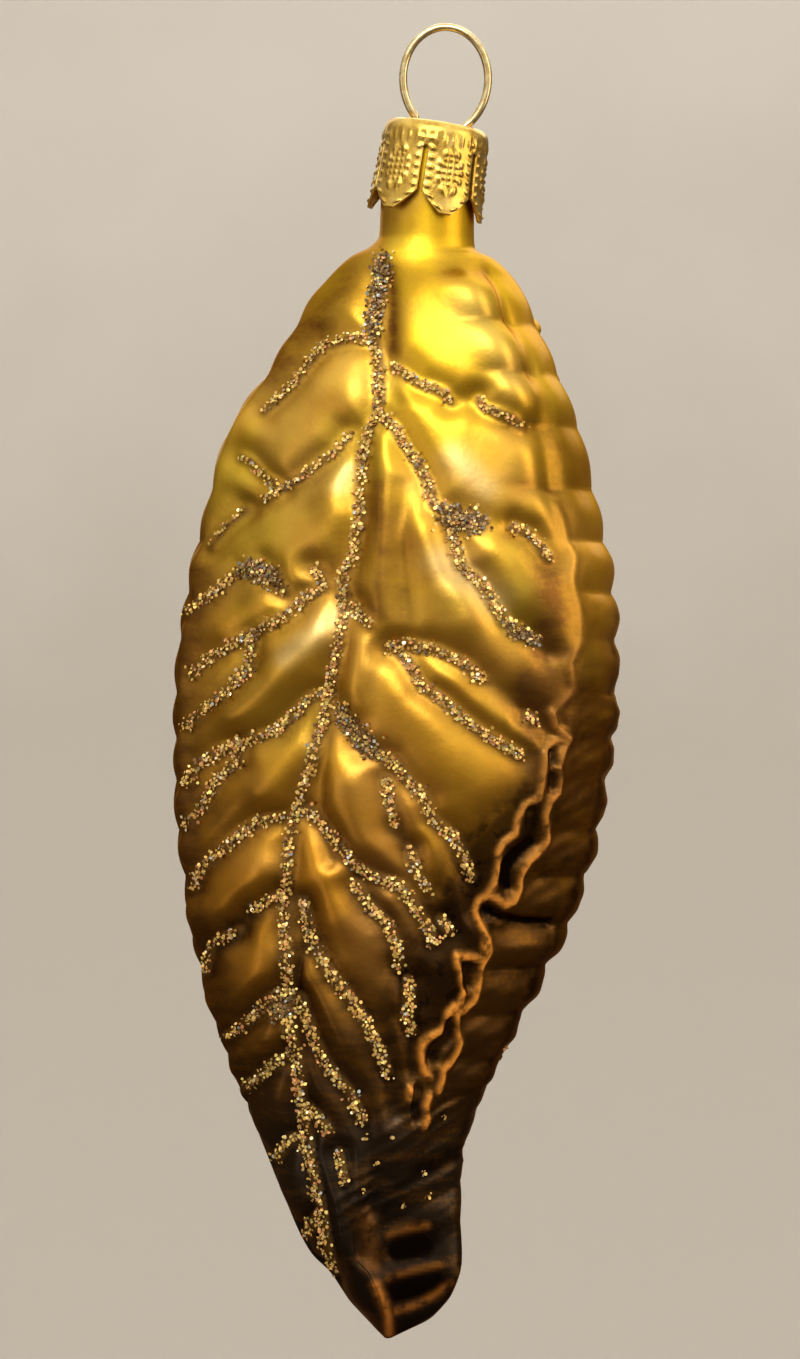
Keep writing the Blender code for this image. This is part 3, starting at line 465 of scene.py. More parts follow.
class Glass:
    """The lacquered glass: its fine surface and what each point of it is coloured by."""

    def __init__(self):
        self.columns = np.concatenate([
            np.linspace(low, high, count, endpoint=False) for low, high, count in COLUMN_ZONES
        ])
        self.heights = self.row_heights()
        base = np.stack([plain_ring(height, self.columns) for height in self.heights])
        self.height = np.repeat(self.heights[:, None], len(self.columns), axis=1)
        self.column = np.repeat(self.columns[None, :], len(self.heights), axis=0)
        self.from_margin = self.distance_from(base, MARGIN)
        self.from_back_margin = self.distance_from(base, 12 - MARGIN)
        self.front = window(self.column, 0.0, 6.0, 0.15)
        self.measure_veins(base)
        self.points = self.shaped(base)
        self.colour_masks()

    @staticmethod
    def row_heights():
        neck = np.linspace(MOUTH_HEIGHT, NECK_FOOT_HEIGHT, 16, endpoint=False)
        shoulder = np.linspace(NECK_FOOT_HEIGHT, 26.0, 26, endpoint=False)
        body = np.linspace(26.0, 128.6, ROWS - 16 - 26 - 14, endpoint=False)
        tip = TIP_HEIGHT - (TIP_HEIGHT - 128.6) * np.linspace(1, 0.02, 14) ** 1.5
        return np.concatenate([neck, shoulder, body, tip])

    def beside(self, line):
        """How far each point is from a line, as the photograph's viewpoint sees it."""
        return near_line(*self.seen, line)[0]

    def distance_from(self, base, station):
        lengths = np.linalg.norm(np.diff(base, axis=1), axis=2)
        travelled = np.concatenate([np.zeros((len(base), 1)), np.cumsum(lengths, axis=1)], axis=1)
        start = np.array([np.interp(station, self.columns, row) for row in travelled])
        return travelled - start[:, None]

    def measure_veins(self, base):
        """The relief of lobes, furrows and ribs, and how near each point is to a glued strand."""
        x, y, z = np.moveaxis(base, 2, 0)
        nearer = EYE[1] / (EYE[1] - y)
        self.seen = EYE[0] + (x - EYE[0]) * nearer, -EYE[2] + (-z + EYE[2]) * nearer
        behind = across(x, self.height), self.height
        sunk, crest, glued = (np.zeros(x.shape) for _ in range(3))
        lines = [(name, line, FURROW_DEPTH, FURROW_WIDTH) for name, line in VEINS.items()]
        lines += [(None, line, depth * FURROW_DEPTH, width) for line, depth, width in FURROWS]
        lines += [(name, line, 0.0, width) for name, (line, width) in BLOBS.items()]
        for name, line, depth, spread in lines:
            width = BLOBS[name][1] if name in BLOBS else GLUE_WIDTH * THIN_STRANDS.get(name, 1.0)
            sides = [(self.seen, self.front)]
            if name in BACK_VEINS:
                sides.append((behind, 1 - self.front))
            for (side_x, side_height), mask in sides:
                distance, along = near_line(side_x, side_height, line)
                taper = 1 - 0.35 * along if name else 1.0
                sunk += (mask * taper * depth * bell(distance, spread)) ** 3
                if name:
                    crest = np.maximum(crest, mask * bell(distance, max(0.8 * width, CREST_SPREAD)))
                    glued = np.maximum(glued, mask * (1 - ramp(distance, 0.35 * width, 1.15 * width)))
        raised = 0.0
        for line, rise, width in RIBS:
            raised = raised + (self.front * rise * bell(self.beside(line), width)) ** 3
        sunk, raised = np.cbrt(sunk), np.cbrt(raised)
        self.vein_relief = LOBE_PUFF - sunk + crest * CREST_HEIGHT + raised
        self.sunk = sunk / FURROW_DEPTH
        self.glued = glued

    def measure_margin(self):
        """The rubbed lines along the margin, the pockets that they run round, and the tail's bands."""
        seen_from_front = window(self.column, 0.0, 7.0, 0.1)
        lines = widest(bell(self.beside(line), EDGE_WIDTH) for line in MARGIN_LINES)
        crest = bell(self.beside(CREST_LINE), CREST_LINE_WIDTH)
        pockets = widest(
            depth * (1 - ramp(self.beside(line), 0.6 * width, 1.4 * width))
            for line, width, depth in MARGIN_POCKETS + TAIL_PANES
        )
        # The tail's orange bands: partly worn lacquer, partly painted highlight.
        bands = widest(worn * bell(self.beside(line), width) for line, width, worn in TAIL_BANDS)
        self.edges, self.crest, self.pocket, self.bands = (
            mask * seen_from_front for mask in (lines, crest, pockets, bands)
        )

    def shaped(self, base):
        """The plain surface with its scallops, flutes, margin lines, lobes and unevenness."""
        height, column, x, y, z = self.height, self.column, *np.moveaxis(base, 2, 0)
        slant = 0.5 * window(height, 106.0, 120.0, 4.0) + 0.18 * ramp(height, 116.0, 122.0)
        crossing = height + slant * np.clip(self.from_margin, 0.0, 12.0)
        turn = np.interp(crossing, NOTCHES, np.arange(len(NOTCHES)))
        self.bulge = np.abs(np.sin(math.pi * turn))
        fade = ramp(height, NECK_FOOT_HEIGHT + 1, 29.0) * (1 - ramp(height, 128.0, TIP_HEIGHT))
        tail = ramp(height, 104.0, 112.0)
        scallop = self.bulge - 0.6
        side = window(column, 5.12, 6.88, 0.22)
        stronger = 0.55 + 0.45 * ramp(height, 42.0, 58.0)
        plainer = 1 - 0.55 * window(height, 56.0, 84.0, 5.0) * (1 - bell(column - 6.1, 0.5))
        dying = 1 - 0.75 * ramp(height, 98.0, 107.0)
        flutes = side * scallop * FLUTE_DEPTH * stronger * plainer * dying
        left = window(column, -1.0, 0.35, 0.3) + window(column, 11.2, 13.0, 0.2)
        flutes += left * scallop * LEFT_FLUTE_DEPTH * (1 - tail)
        spill = window(self.from_margin, -4.5, 1.5, 1.8) * window(height, 24.0, 50.0, 4.0)
        flutes += spill * SPILL_DEPTH * scallop
        # Painted shade: the creases between the flute ends are darkened.
        self.crease_shade = spill * (1 - self.bulge) ** 1.5
        self.measure_margin()
        relief = self.edges * EDGE_HEIGHT - self.pocket * POCKET_DEPTH * (1 - 0.7 * tail)
        relief += CREST_LINE_HEIGHT * self.crest + BAND_HEIGHT * self.bands
        folded = window(height, 106.0, 118.5, 2.5) * window(self.from_margin, -4.5, 9.0, 2.0)
        uneven = wobble(x, y, z, 2.5, SEED + 4)
        across_folds = height + 0.55 * x + 1.2 * uneven
        sharp = (1 - np.abs(np.sin(math.pi * across_folds / FOLD_PITCH))) ** 1.5
        relief += FOLD_HEIGHT * folded * (0.5 + uneven) * sharp
        relief += bell(self.from_back_margin, 0.8) * BACK_MARGIN_HEIGHT
        rippled = wobble(x / 4, y / 4, height + 0.3 * x, 0.5, SEED + 6)
        relief += RIPPLE_HEIGHT * rippled * window(column, 5.2, 6.8, 0.1) * window(height, 60.0, 108.0, 6.0)
        relief -= SHOULDER_DIP * bell(self.from_margin, 1.8) * window(height, 22.0, 50.0, 7.0)
        crumpled = window(height, 24.0, 46.0, 5.0) * window(self.from_margin, -11.0, 1.0, 3.0)
        blown = 0.2 * wobble(x, y, z, 4.0, SEED) + 0.05 * wobble(x, y, z, 1.4, SEED + 2)
        blown += 0.22 * crumpled * wobble(x, y, z, 1.7, SEED + 3)
        body = ramp(height, 22.5, 27.0) * (1 - ramp(height, 126.0, 129.5))
        lift = fade * (flutes + relief) + body * (self.vein_relief * (1 - 0.8 * side) + blown)
        moved = base + self.normals(base) * lift[:, :, None]
        swing = bell(self.from_back_margin, 2.2)
        moved[:, :, 0] += fade * (1 - tail) * WAVE * np.cos(2 * math.pi * turn) * swing
        return moved

    @staticmethod
    def normals(points):
        round_ring = np.roll(points, -1, axis=1) - np.roll(points, 1, axis=1)
        down = np.gradient(points, axis=0)
        normal = np.cross(round_ring, down)
        return -normal / np.maximum(np.linalg.norm(normal, axis=2), 1e-9)[:, :, None]

    def colour_masks(self):
        """How dark, how rubbed and how pale each point is, from 0 to 1; the darkness includes painted shade
        and the paleness painted highlights.
        """
        height, column, x, y, z = self.height, self.column, *np.moveaxis(self.points, 2, 0)
        left_edge = smooth(LEFT_EDGE, height)
        middle = (left_edge + smooth(RIGHT_EDGE, height)) / 2
        uneven = wobble(x, y, z, 4.0, SEED + 1)
        low = ramp(height + 0.35 * (x - middle) + 3.0 * uneven, 73.0, 110.0)
        inward = np.clip(-self.from_margin, 0.0, 99.0)
        reach = 1.4 + 5.6 * ramp(height, 60.0, 88.0)
        by_margin = ramp(height, 56.0, 70.0) * bell(inward, reach) * self.front
        wall = window(column, 5.06, 6.9, 0.12) * ramp(height + 2 * uneven, 54.0, 84.0)
        # Painted highlight: the side wall is kept lighter on the flutes' bulges, where they catch the
        # light.
        lit = 0.35 * window(height, 66.0, 84.0, 5.0) + 0.5 * window(height, 86.0, 104.0, 3.0)
        wall *= 1 - self.bulge * lit
        by_left = ramp(height, 40.0, 58.0) * bell(x - left_edge - 0.3, 2.9) * 0.96
        streaked = wobble(x / 4, y / 4, height + 0.3 * x, 0.7, SEED + 5)
        # Darker in the furrows: partly lacquer gathered there, partly painted shade; lower down also
        # painted near black.
        furrow = np.clip(self.sunk, 0.0, 1.0) ** 1.5 * (0.25 + 0.7 * ramp(height, 44.0, 84.0))
        # A thin dark line down the side wall's middle: partly lacquer along the mould seam, partly painted
        # shade of the dark outline.
        rim = 0.9 * bell(column - 5.88, 0.19) * window(height, 58.0, 112.0, 5.0)
        plateau = 1.5 + 4.0 * ramp(height, 73.0, 82.0)
        pooled = 0.9 * bell(np.clip(inward - plateau, 0.0, 99.0), 2.8) * window(height, 74.0, 101.0, 4.5)
        pooled = pooled * self.front * (1 - ramp(column, 4.95, 5.2))
        streaks = wall * np.clip(0.5 + 1.5 * streaked, 0.0, 0.9)
        # The pockets and tail panes are painted near black: partly dark lacquer, partly painted shade in
        # the recesses.
        in_pocket = self.pocket * ramp(height, 66.0, 72.0)
        self.deep = widest([in_pocket, furrow * ramp(height, 74.0, 94.0), pooled, streaks, rim])
        light = (1 - 0.97 * low) * (1 - 0.93 * by_margin) * (1 - 0.8 * wall) * (1 - by_left)
        # Painted shade in the flute creases.
        light = light * (1 - 0.6 * self.crease_shade)
        # Painted shade along each of these lines.
        for line, width, strength in PAINTED_SHADE_LINES:
            light = light * (1 - strength * self.front * bell(self.beside(line), width))
        self.dark = np.maximum(1 - light * (1 - furrow), self.pocket * ramp(height, 66.0, 74.0))
        # Painted highlights: pale streaks along the ridges that catch the light.
        self.pale = self.front * widest(rub * bell(self.beside(line), width) for line, width, rub in PAINTED_HIGHLIGHTS)
        self.rubbed = np.maximum(self.edges, 0.4 * self.crest * ramp(height, 50.0, 60.0))
        self.rubbed *= (1 - self.pocket) * (0.7 + 0.3 * ramp(height, 72.0, 82.0))
        self.rubbed += 0.5 * bell(self.from_back_margin, 0.6) * window(height, 66.0, 110.0, 8.0)
        self.rubbed = np.clip(np.maximum(self.rubbed, self.bands), 0.0, 1.0)


def new_object(name, data):
    obj = bpy.data.objects.new(name, data)
    bpy.context.scene.collection.objects.link(obj)
    return obj


def new_mesh_object(name, points, faces):
    mesh = bpy.data.meshes.new(name)
    mesh.from_pydata(points.tolist(), [], faces)
    mesh.update()
    return new_object(name, mesh)


def object_from(shape, name):
    """The object of a bmesh, which is freed."""
    mesh = bpy.data.meshes.new(name)
    shape.to_mesh(mesh)
    shape.free()
    return new_object(name, mesh)


def add_mask(mesh, name, values):
    layer = mesh.attributes.new(name, "FLOAT", "POINT")
    layer.data.foreach_set("value", np.ascontiguousarray(values, np.float32).ravel())


def make_glass():
    glass = Glass()
    rows, count = glass.height.shape
    points = glass.points.reshape(-1, 3)
    index = np.arange(rows * count).reshape(rows, count)
    following = np.roll(index, -1, axis=1)
    quads = np.stack([index[:-1], index[1:], following[1:], following[:-1]], axis=-1).reshape(-1, 4)
    faces = quads.tolist()
    # The mouth's rim turns in and goes some way down inside the neck, and the tip closes to a point.
    values = {name: getattr(glass, name).ravel() for name in LACQUER_MASKS}
    values["height"] = values["height"] / TIP_HEIGHT
    rim = glass.points[0]
    middle = rim.mean(axis=0)
    inner = middle + (rim - middle) * MOUTH_SHARE
    extra = [inner, inner + np.array(DOWN_INSIDE)]
    start = rows * count
    for k in range(count):
        after = (k + 1) % count
        faces.append([index[0, k], index[0, after], start + after, start + k])
        faces.append([start + k, start + after, start + count + after, start + count + k])
    tip = start + 2 * count
    for k in range(count):
        faces.append([index[-1, k], tip, index[-1, (k + 1) % count]])
    points = np.concatenate([points, *extra, [glass.points[-1].mean(axis=0) + [0, 0, -0.05]]])
    piece = new_mesh_object("blown_glass", points * MM, faces)
    for name, value in values.items():
        at_rim = value[:count]
        add_mask(piece.data, name, np.concatenate([value, at_rim, at_rim, value[-1:]]))
    piece.data.shade_smooth()
    return piece


def ray_from_eye(surface, x, height):
    start = Vector(EYE) * MM
    return surface.ray_cast(start, (Vector((x, 0, -height)) * MM - start).normalized())


def ray_from_behind(surface, x, height):
    return surface.ray_cast(Vector((float(across(x, height)), 60.0, -height)) * MM, Vector((0, -1, 0)))


def flake_spots(random, line, half_width, per_mm):
    """Random places on a strand: even along it, and thickest in its middle."""
    points = np.array(line, float)
    lengths = np.linalg.norm(np.diff(points, axis=0), axis=1)
    travelled = np.concatenate([[0.0], np.cumsum(lengths)])
    count = int(per_mm * (travelled[-1] + half_width))
    at = random.uniform(-0.4 * half_width, travelled[-1] + 0.4 * half_width, count)
    centre = np.column_stack([np.interp(at, travelled, points[:, axis]) for axis in (0, 1)])
    uneven = 0.7 + 0.5 * np.abs(np.sin(at * 1.3 + len(line)))
    spread = half_width * uneven[:, None] * random.normal(0, 0.45, (count, 2)).clip(-0.95, 0.95)
    return centre + spread


def add_flake(flakes, random, hit, mixture=1):
    """One six-sided plate, tilted at random on its glue, where the ray meets the glass."""
    spot, normal, _, _ = hit
    if spot is None:
        return
    points, faces, colours = flakes
    tilt = Vector(random.normal(0, 0.42, 3)) + normal
    axis = tilt.normalized()
    side = axis.orthogonal().normalized()
    other = axis.cross(side)
    radius = random.uniform(*FLAKE_RADII) * MM
    centre = spot + normal * random.uniform(*FLAKE_LIFT) * MM
    turn = random.uniform(0, math.pi)
    start = len(points)
    for level in (-0.5, 0.5):
        for k in range(6):
            angle = turn + math.pi * k / 3
            offset = side * math.cos(angle) * radius + other * math.sin(angle) * radius
            points.append(centre + offset + axis * level * FLAKE_THICKNESS * MM)
    faces.append([start + k for k in range(5, -1, -1)])
    faces.append([start + 6 + k for k in range(6)])
    for k in range(6):
        after = (k + 1) % 6
        faces.append([start + k, start + after, start + 6 + after, start + 6 + k])
    weights = np.array([kind[mixture] for kind in FLAKE_COLOURS], float)
    colour = FLAKE_COLOURS[random.choice(len(FLAKE_COLOURS), p=weights / weights.sum())][0]
    colours.extend([(*colour, 1.0)] * 12)


def flake_piece(name, points, faces, colours):
    piece = new_mesh_object(name, np.array(points), faces)
    layer = piece.data.color_attributes.new("flake", "FLOAT_COLOR", "POINT")
    layer.data.foreach_set("color", np.array(colours, np.float32).ravel())
    return piece


def make_glitter(surface):
    """The flakes on the front and those on the back, as one piece each."""
    random = np.random.default_rng(SEED)
    front, back = ([], [], []), ([], [], [])
    strands = []
    for name, line in VEINS.items():
        thin = THIN_STRANDS.get(name, 1.0)
        strands.append((line, STRAND_HALF_WIDTH * thin, FLAKES_PER_MM * thin))
    strands += [(line, width, 2.2 * FLAKES_PER_MM * width) for line, width in BLOBS.values()]
    for line, half_width, per_mm in strands:
        spots = flake_spots(random, line, half_width, per_mm)
        thick = np.zeros(len(spots), bool)
        for blob, width in BLOBS.values():
            thick |= near_line(*spots.T, blob)[0] < width
        for (x, height), mixture in zip(spots, 1 + thick):
            add_flake(front, random, ray_from_eye(surface, x, height), mixture)
    for x, height in STRAY_FLAKES:
        for dx, dh in random.normal(0, 0.14, (4, 2)):
            add_flake(front, random, ray_from_eye(surface, x + dx, height + dh))
    for name in BACK_VEINS:
        for x, height in flake_spots(random, VEINS[name], STRAND_HALF_WIDTH, 0.8 * FLAKES_PER_MM):
            add_flake(back, random, ray_from_behind(surface, x, height))
    return flake_piece("glitter", *front), flake_piece("glitter_back", *back)


def cap_frame():
    top = Vector((CAP_TOP[0], 0, -CAP_TOP[1])) * MM
    return Matrix.Translation(top) @ Matrix.Rotation(NECK_TILT, 4, "Y")


def cap_radius(depth):
    """The outside of the metal at this depth below the cap's top."""
    if depth < CAP_CORNER:
        return CAP_RADIUS - CAP_CORNER + math.sqrt(CAP_CORNER**2 - (CAP_CORNER - depth) ** 2)
    return CAP_RADIUS + CAP_FLARE * (depth / CAP_LENGTH) ** 2


def lobe_half_width(depth):
    """Half of a lobe's width at this depth, measured round the cap."""
    radius = CAP_RADIUS + CAP_FLARE * (depth / CAP_LENGTH) ** 2
    full = math.pi * radius / LOBES
    if depth <= SLIT_TOP:
        return full
    if depth <= LOBE_SHOULDER:
        return full - SLIT_WIDTH / 2
    t = (depth - LOBE_SHOULDER) / (CAP_LENGTH - LOBE_SHOULDER)
    return (full - SLIT_WIDTH / 2) * (1 - t) ** 0.9 + LOBE_TIP_WIDTH / 2 * t


def stamped(across_mm, depth, half_width):
    """The stamped height on a lobe: a beaded border, a beaded oval with a lattice, and a fan above."""
    inset = half_width - abs(across_mm)
    height = 0.0
    if depth > SLIT_TOP - 1.2 and inset < BORDER_WIDTH:
        bead = max(0.0, math.cos(2 * math.pi * depth / BEAD_PITCH))
        height += BEAD_HEIGHT * bead * bell(inset - 0.5, 0.22)
    below = depth - OVAL_DEPTH
    oval = math.hypot(across_mm / OVAL_HALF_WIDTH, below / OVAL_HALF_HEIGHT)
    angle = math.atan2(below, across_mm)
    height += BEAD_HEIGHT * bell(oval - 1.0, 0.18) * (0.5 + 0.5 * math.cos(OVAL_BEADS * angle))
    if oval < 0.85:
        rising = math.cos(math.pi * (across_mm + below) / LATTICE_PITCH)
        falling = math.cos(math.pi * (across_mm - below) / LATTICE_PITCH)
        height += LATTICE_HEIGHT * max(0.0, rising * falling)
    fan = bell(depth - 1.9, 0.55) * max(0.0, math.cos(2 * math.pi * across_mm / 0.9))
    return height + FAN_HEIGHT * fan


def make_cap():
    """The cap as a sheet: top plate, rounded shoulder, then six embossed lobes, thickened inwards."""
    sheet = bmesh.new()
    steps_each = 40  # round each lobe
    plate = np.linspace(0.5, CAP_RADIUS - CAP_CORNER, 25)
    shoulder = [CAP_CORNER * (1 - math.cos(math.radians(a))) for a in (15, 32, 50, 68, 84)]
    depths = np.linspace(CAP_CORNER, SLIT_TOP, 10)

    def point(angle, radius, depth):
        return sheet.verts.new(Vector((radius * math.sin(angle), -radius * math.cos(angle), -depth)) * MM)

    def emboss(lobe_angle, depth):
        radius = cap_radius(depth)
        return radius + stamped(lobe_angle * radius, depth, lobe_half_width(depth))

    total = LOBES * steps_each
    sector = 2 * math.pi / LOBES
    angles = [FIRST_SLIT + 2 * math.pi * k / total for k in range(total)]
    rings = [[point(a, r, 0.0) for a in angles] for r in plate]
    rings += [[point(a, cap_radius(d), d) for a in angles] for d in shoulder]
    for depth in depths:
        offsets = [(k % steps_each) / steps_each * sector - sector / 2 for k in range(total)]
        rings.append([point(a, emboss(o, depth), depth) for a, o in zip(angles, offsets)])
    centre = point(0.0, 0.0, 0.0)
    for k in range(total):
        sheet.faces.new((rings[0][k], rings[0][(k + 1) % total], centre))
        for upper, lower in zip(rings, rings[1:]):
            sheet.faces.new((upper[k], lower[k], lower[(k + 1) % total], upper[(k + 1) % total]))
    lobe_rows = np.concatenate([
        np.linspace(SLIT_TOP, LOBE_SHOULDER, 34)[1:], np.linspace(LOBE_SHOULDER, CAP_LENGTH, 18)[1:]
    ])
    for lobe in range(LOBES):
        middle = FIRST_SLIT + sector * (lobe + 0.5)
        row = [rings[-1][(lobe * steps_each + k) % total] for k in range(1, steps_each)]
        for depth in lobe_rows:
            radius, half = cap_radius(depth), lobe_half_width(depth)
            below = []
            for k in range(1, steps_each):
                offset = half * (2 * (k - 1) / (steps_each - 2) - 1) / radius
                below.append(point(middle + offset, emboss(offset, depth), depth))
            for k in range(len(row) - 1):
                sheet.faces.new((row[k], below[k], below[k + 1], row[k + 1]))
            row = below
    for side in (-1, 1):
        hole = Vector((side * WIRE_HOLE_OFFSET, 0, 0)) * MM
        radius = WIRE_HOLE_RADIUS * MM
        cut = [face for face in sheet.faces if (face.calc_center_median() - hole).length < radius]
        bmesh.ops.delete(sheet, geom=cut, context="FACES")
        for vert in sheet.verts:
            if vert.is_boundary and (vert.co - hole).length < 1.4 * radius:
                vert.co = hole + (vert.co - hole).normalized() * radius
    bmesh.ops.recalc_face_normals(sheet, faces=sheet.faces)
    cap = object_from(sheet, "stamped_cap")
    cap.data.transform(cap_frame())
    thick = cap.modifiers.new("metal", "SOLIDIFY")
    thick.thickness = CAP_METAL * 0.8 * MM
    thick.offset = -1.0
    cap.data.shade_smooth()
    return cap


def below_cap_top(offset, depth):
    return (cap_frame() @ (Vector((offset, 0, -depth)) * MM)) / MM


def make_hanger():
    x, height = RING_CENTRE
    ring = []
    for angle in np.linspace(RING_OPENS[0] - math.pi, math.pi - RING_OPENS[1], 72):
        half_height = RING_HALF_HEIGHT if math.cos(angle) > 0 else RING_LOWER_HALF_HEIGHT
        offset = RING_HALF_WIDTH * math.sin(angle), half_height * math.cos(angle)
        ring.append(Vector((x + offset[0], 0, -height + offset[1])))
    left = [below_cap_top(-offset, depth) for offset, depth in reversed(LEG_POINTS)]
    right = [below_cap_top(offset, depth) for offset, depth in LEG_POINTS]
    data = bpy.data.curves.new("hanger_wire", "CURVE")
    data.dimensions = "3D"
    data.bevel_depth = WIRE_RADIUS * MM
    data.bevel_resolution = 6
    data.use_fill_caps = True
    points = [*left, *ring, *right]
    for _ in range(2):
        cut_corners = [a.lerp(b, share) for a, b in zip(points, points[1:]) for share in (0.25, 0.75)]
        points = [points[0], *cut_corners, points[-1]]
    spline = data.splines.new("POLY")
    spline.points.add(len(points) - 1)
    for target, place in zip(spline.points, points):
        target.co = (*(Vector(place) * MM), 1.0)
    return new_object("bright_wire", data)


class Nodes:
    """A small helper for building a material's node tree. The noises' scales are per metre."""

    def __init__(self, name):
        self.material = bpy.data.materials.new(name)
        self.material.use_nodes = True
        self.tree = self.material.node_tree
        self.shader = self.tree.nodes["Principled BSDF"]

    def add(self, kind, **settings):
        node = self.tree.nodes.new("ShaderNode" + kind)
        for key, value in settings.items():
            if key in node.inputs:
                node.inputs[key].default_value = value
            else:
                setattr(node, key, value)
        return node

    def link(self, output, target):
        self.tree.links.new(output, target)

    def put(self, value, target):
        """Links a node's output to a socket, or sets the socket's own value."""
        if hasattr(value, "is_output"):
            self.link(value, target)
        else:
            target.default_value = value

    def mask(self, name):
        return self.add("Attribute", attribute_name=name).outputs["Fac"]

    def noise(self, scale, detail=2.0, roughness=0.5, stretch=(1, 1, 1)):
        place = self.add("TexCoord").outputs["Object"]
        stretched = self.add("VectorMath", operation="MULTIPLY")
        stretched.inputs[1].default_value = stretch
        self.link(place, stretched.inputs[0])
        node = self.add("TexNoise", Scale=scale, Detail=detail, Roughness=roughness)
        self.link(stretched.outputs["Vector"], node.inputs["Vector"])
        return node.outputs["Fac"]

    def ramp(self, factor, stops):
        """A band of colours, where a single number stands for a grey."""
        node = self.add("ValToRGB")
        band = node.color_ramp
        while len(band.elements) < len(stops):
            band.elements.new(0.5)
        for element, (position, colour) in zip(band.elements, stops):
            element.position = position
            element.color = (*(colour if isinstance(colour, tuple) else (colour,) * 3), 1.0)
        self.link(factor, node.inputs["Fac"])
        return node.outputs["Color"]

    def mix(self, factor, first, second):
        node = self.add("Mix", data_type="RGBA")
        for value, slot in ((factor, 0), (first, 6), (second, 7)):
            if isinstance(value, tuple):
                value = (*value, 1.0)
            self.put(value, node.inputs[slot])
        return node.outputs[2]

    def finish(self, **values):
        """Sets or links the shader's sockets, and returns the material."""
        sockets = {socket.name.lower().replace(" ", "_"): socket for socket in self.shader.inputs}
        for name, value in values.items():
            self.put(value, sockets[name])
        return self.material

    def plus(self, first, second, clamp=False):
        return self.maths("ADD", first, second, clamp)

    def times(self, first, second, clamp=False):
        return self.maths("MULTIPLY", first, second, clamp)

    def larger(self, first, second):
        return self.maths("MAXIMUM", first, second)

    def maths(self, operation, first, second=0.5, clamp=False):
        node = self.add("Math", operation=operation, use_clamp=clamp)
        for value, slot in ((first, 0), (second, 1)):
            self.put(value, node.inputs[slot])
        return node.outputs[0]

    def bump(self, height, distance, strength=1.0, onto=None):
        node = self.add("Bump", Strength=strength, Distance=distance)
        self.link(height, node.inputs["Height"])
        if onto is not None:
            self.link(onto, node.inputs["Normal"])
        return node.outputs["Normal"]


LACQUER_BANDS = [  # by height: lemon gold at the neck, then bronze
    (0.08, (0.66, 0.40, 0.008)),
    (0.24, (0.70, 0.43, 0.016)),
    (0.38, (0.65, 0.37, 0.026)),
    (0.50, (0.61, 0.33, 0.026)),
    (0.66, (0.57, 0.265, 0.012)),
    (0.80, (0.52, 0.215, 0.009)),
    (1.00, (0.30, 0.10, 0.006)),
]
DARK_BANDS = [  # the brown that the gold goes into, and at the tip near black
    (0.20, (0.16, 0.060, 0.006)),
    (0.42, (0.20, 0.090, 0.016)),
    (0.55, (0.17, 0.076, 0.016)),
    (0.75, (0.10, 0.045, 0.010)),
    (0.86, (0.032, 0.020, 0.011)),
    (1.00, (0.012, 0.008, 0.005)),
]
RUBBED_BANDS = [(0.5, (0.50, 0.22, 0.045)), (0.72, (0.80, 0.32, 0.045)), (1.0, (0.42, 0.14, 0.018))]
STAIN = (0.44, 0.19, 0.014)
OLIVE = (0.52, 0.38, 0.03)
ROSY = (0.62, 0.31, 0.10)
HIGHLIGHT_GOLD = (0.86, 0.72, 0.36)
DEEP_SHADE_AND_LACQUER = (0.006, 0.003, 0.002)
GLUE = (0.19, 0.10, 0.025)


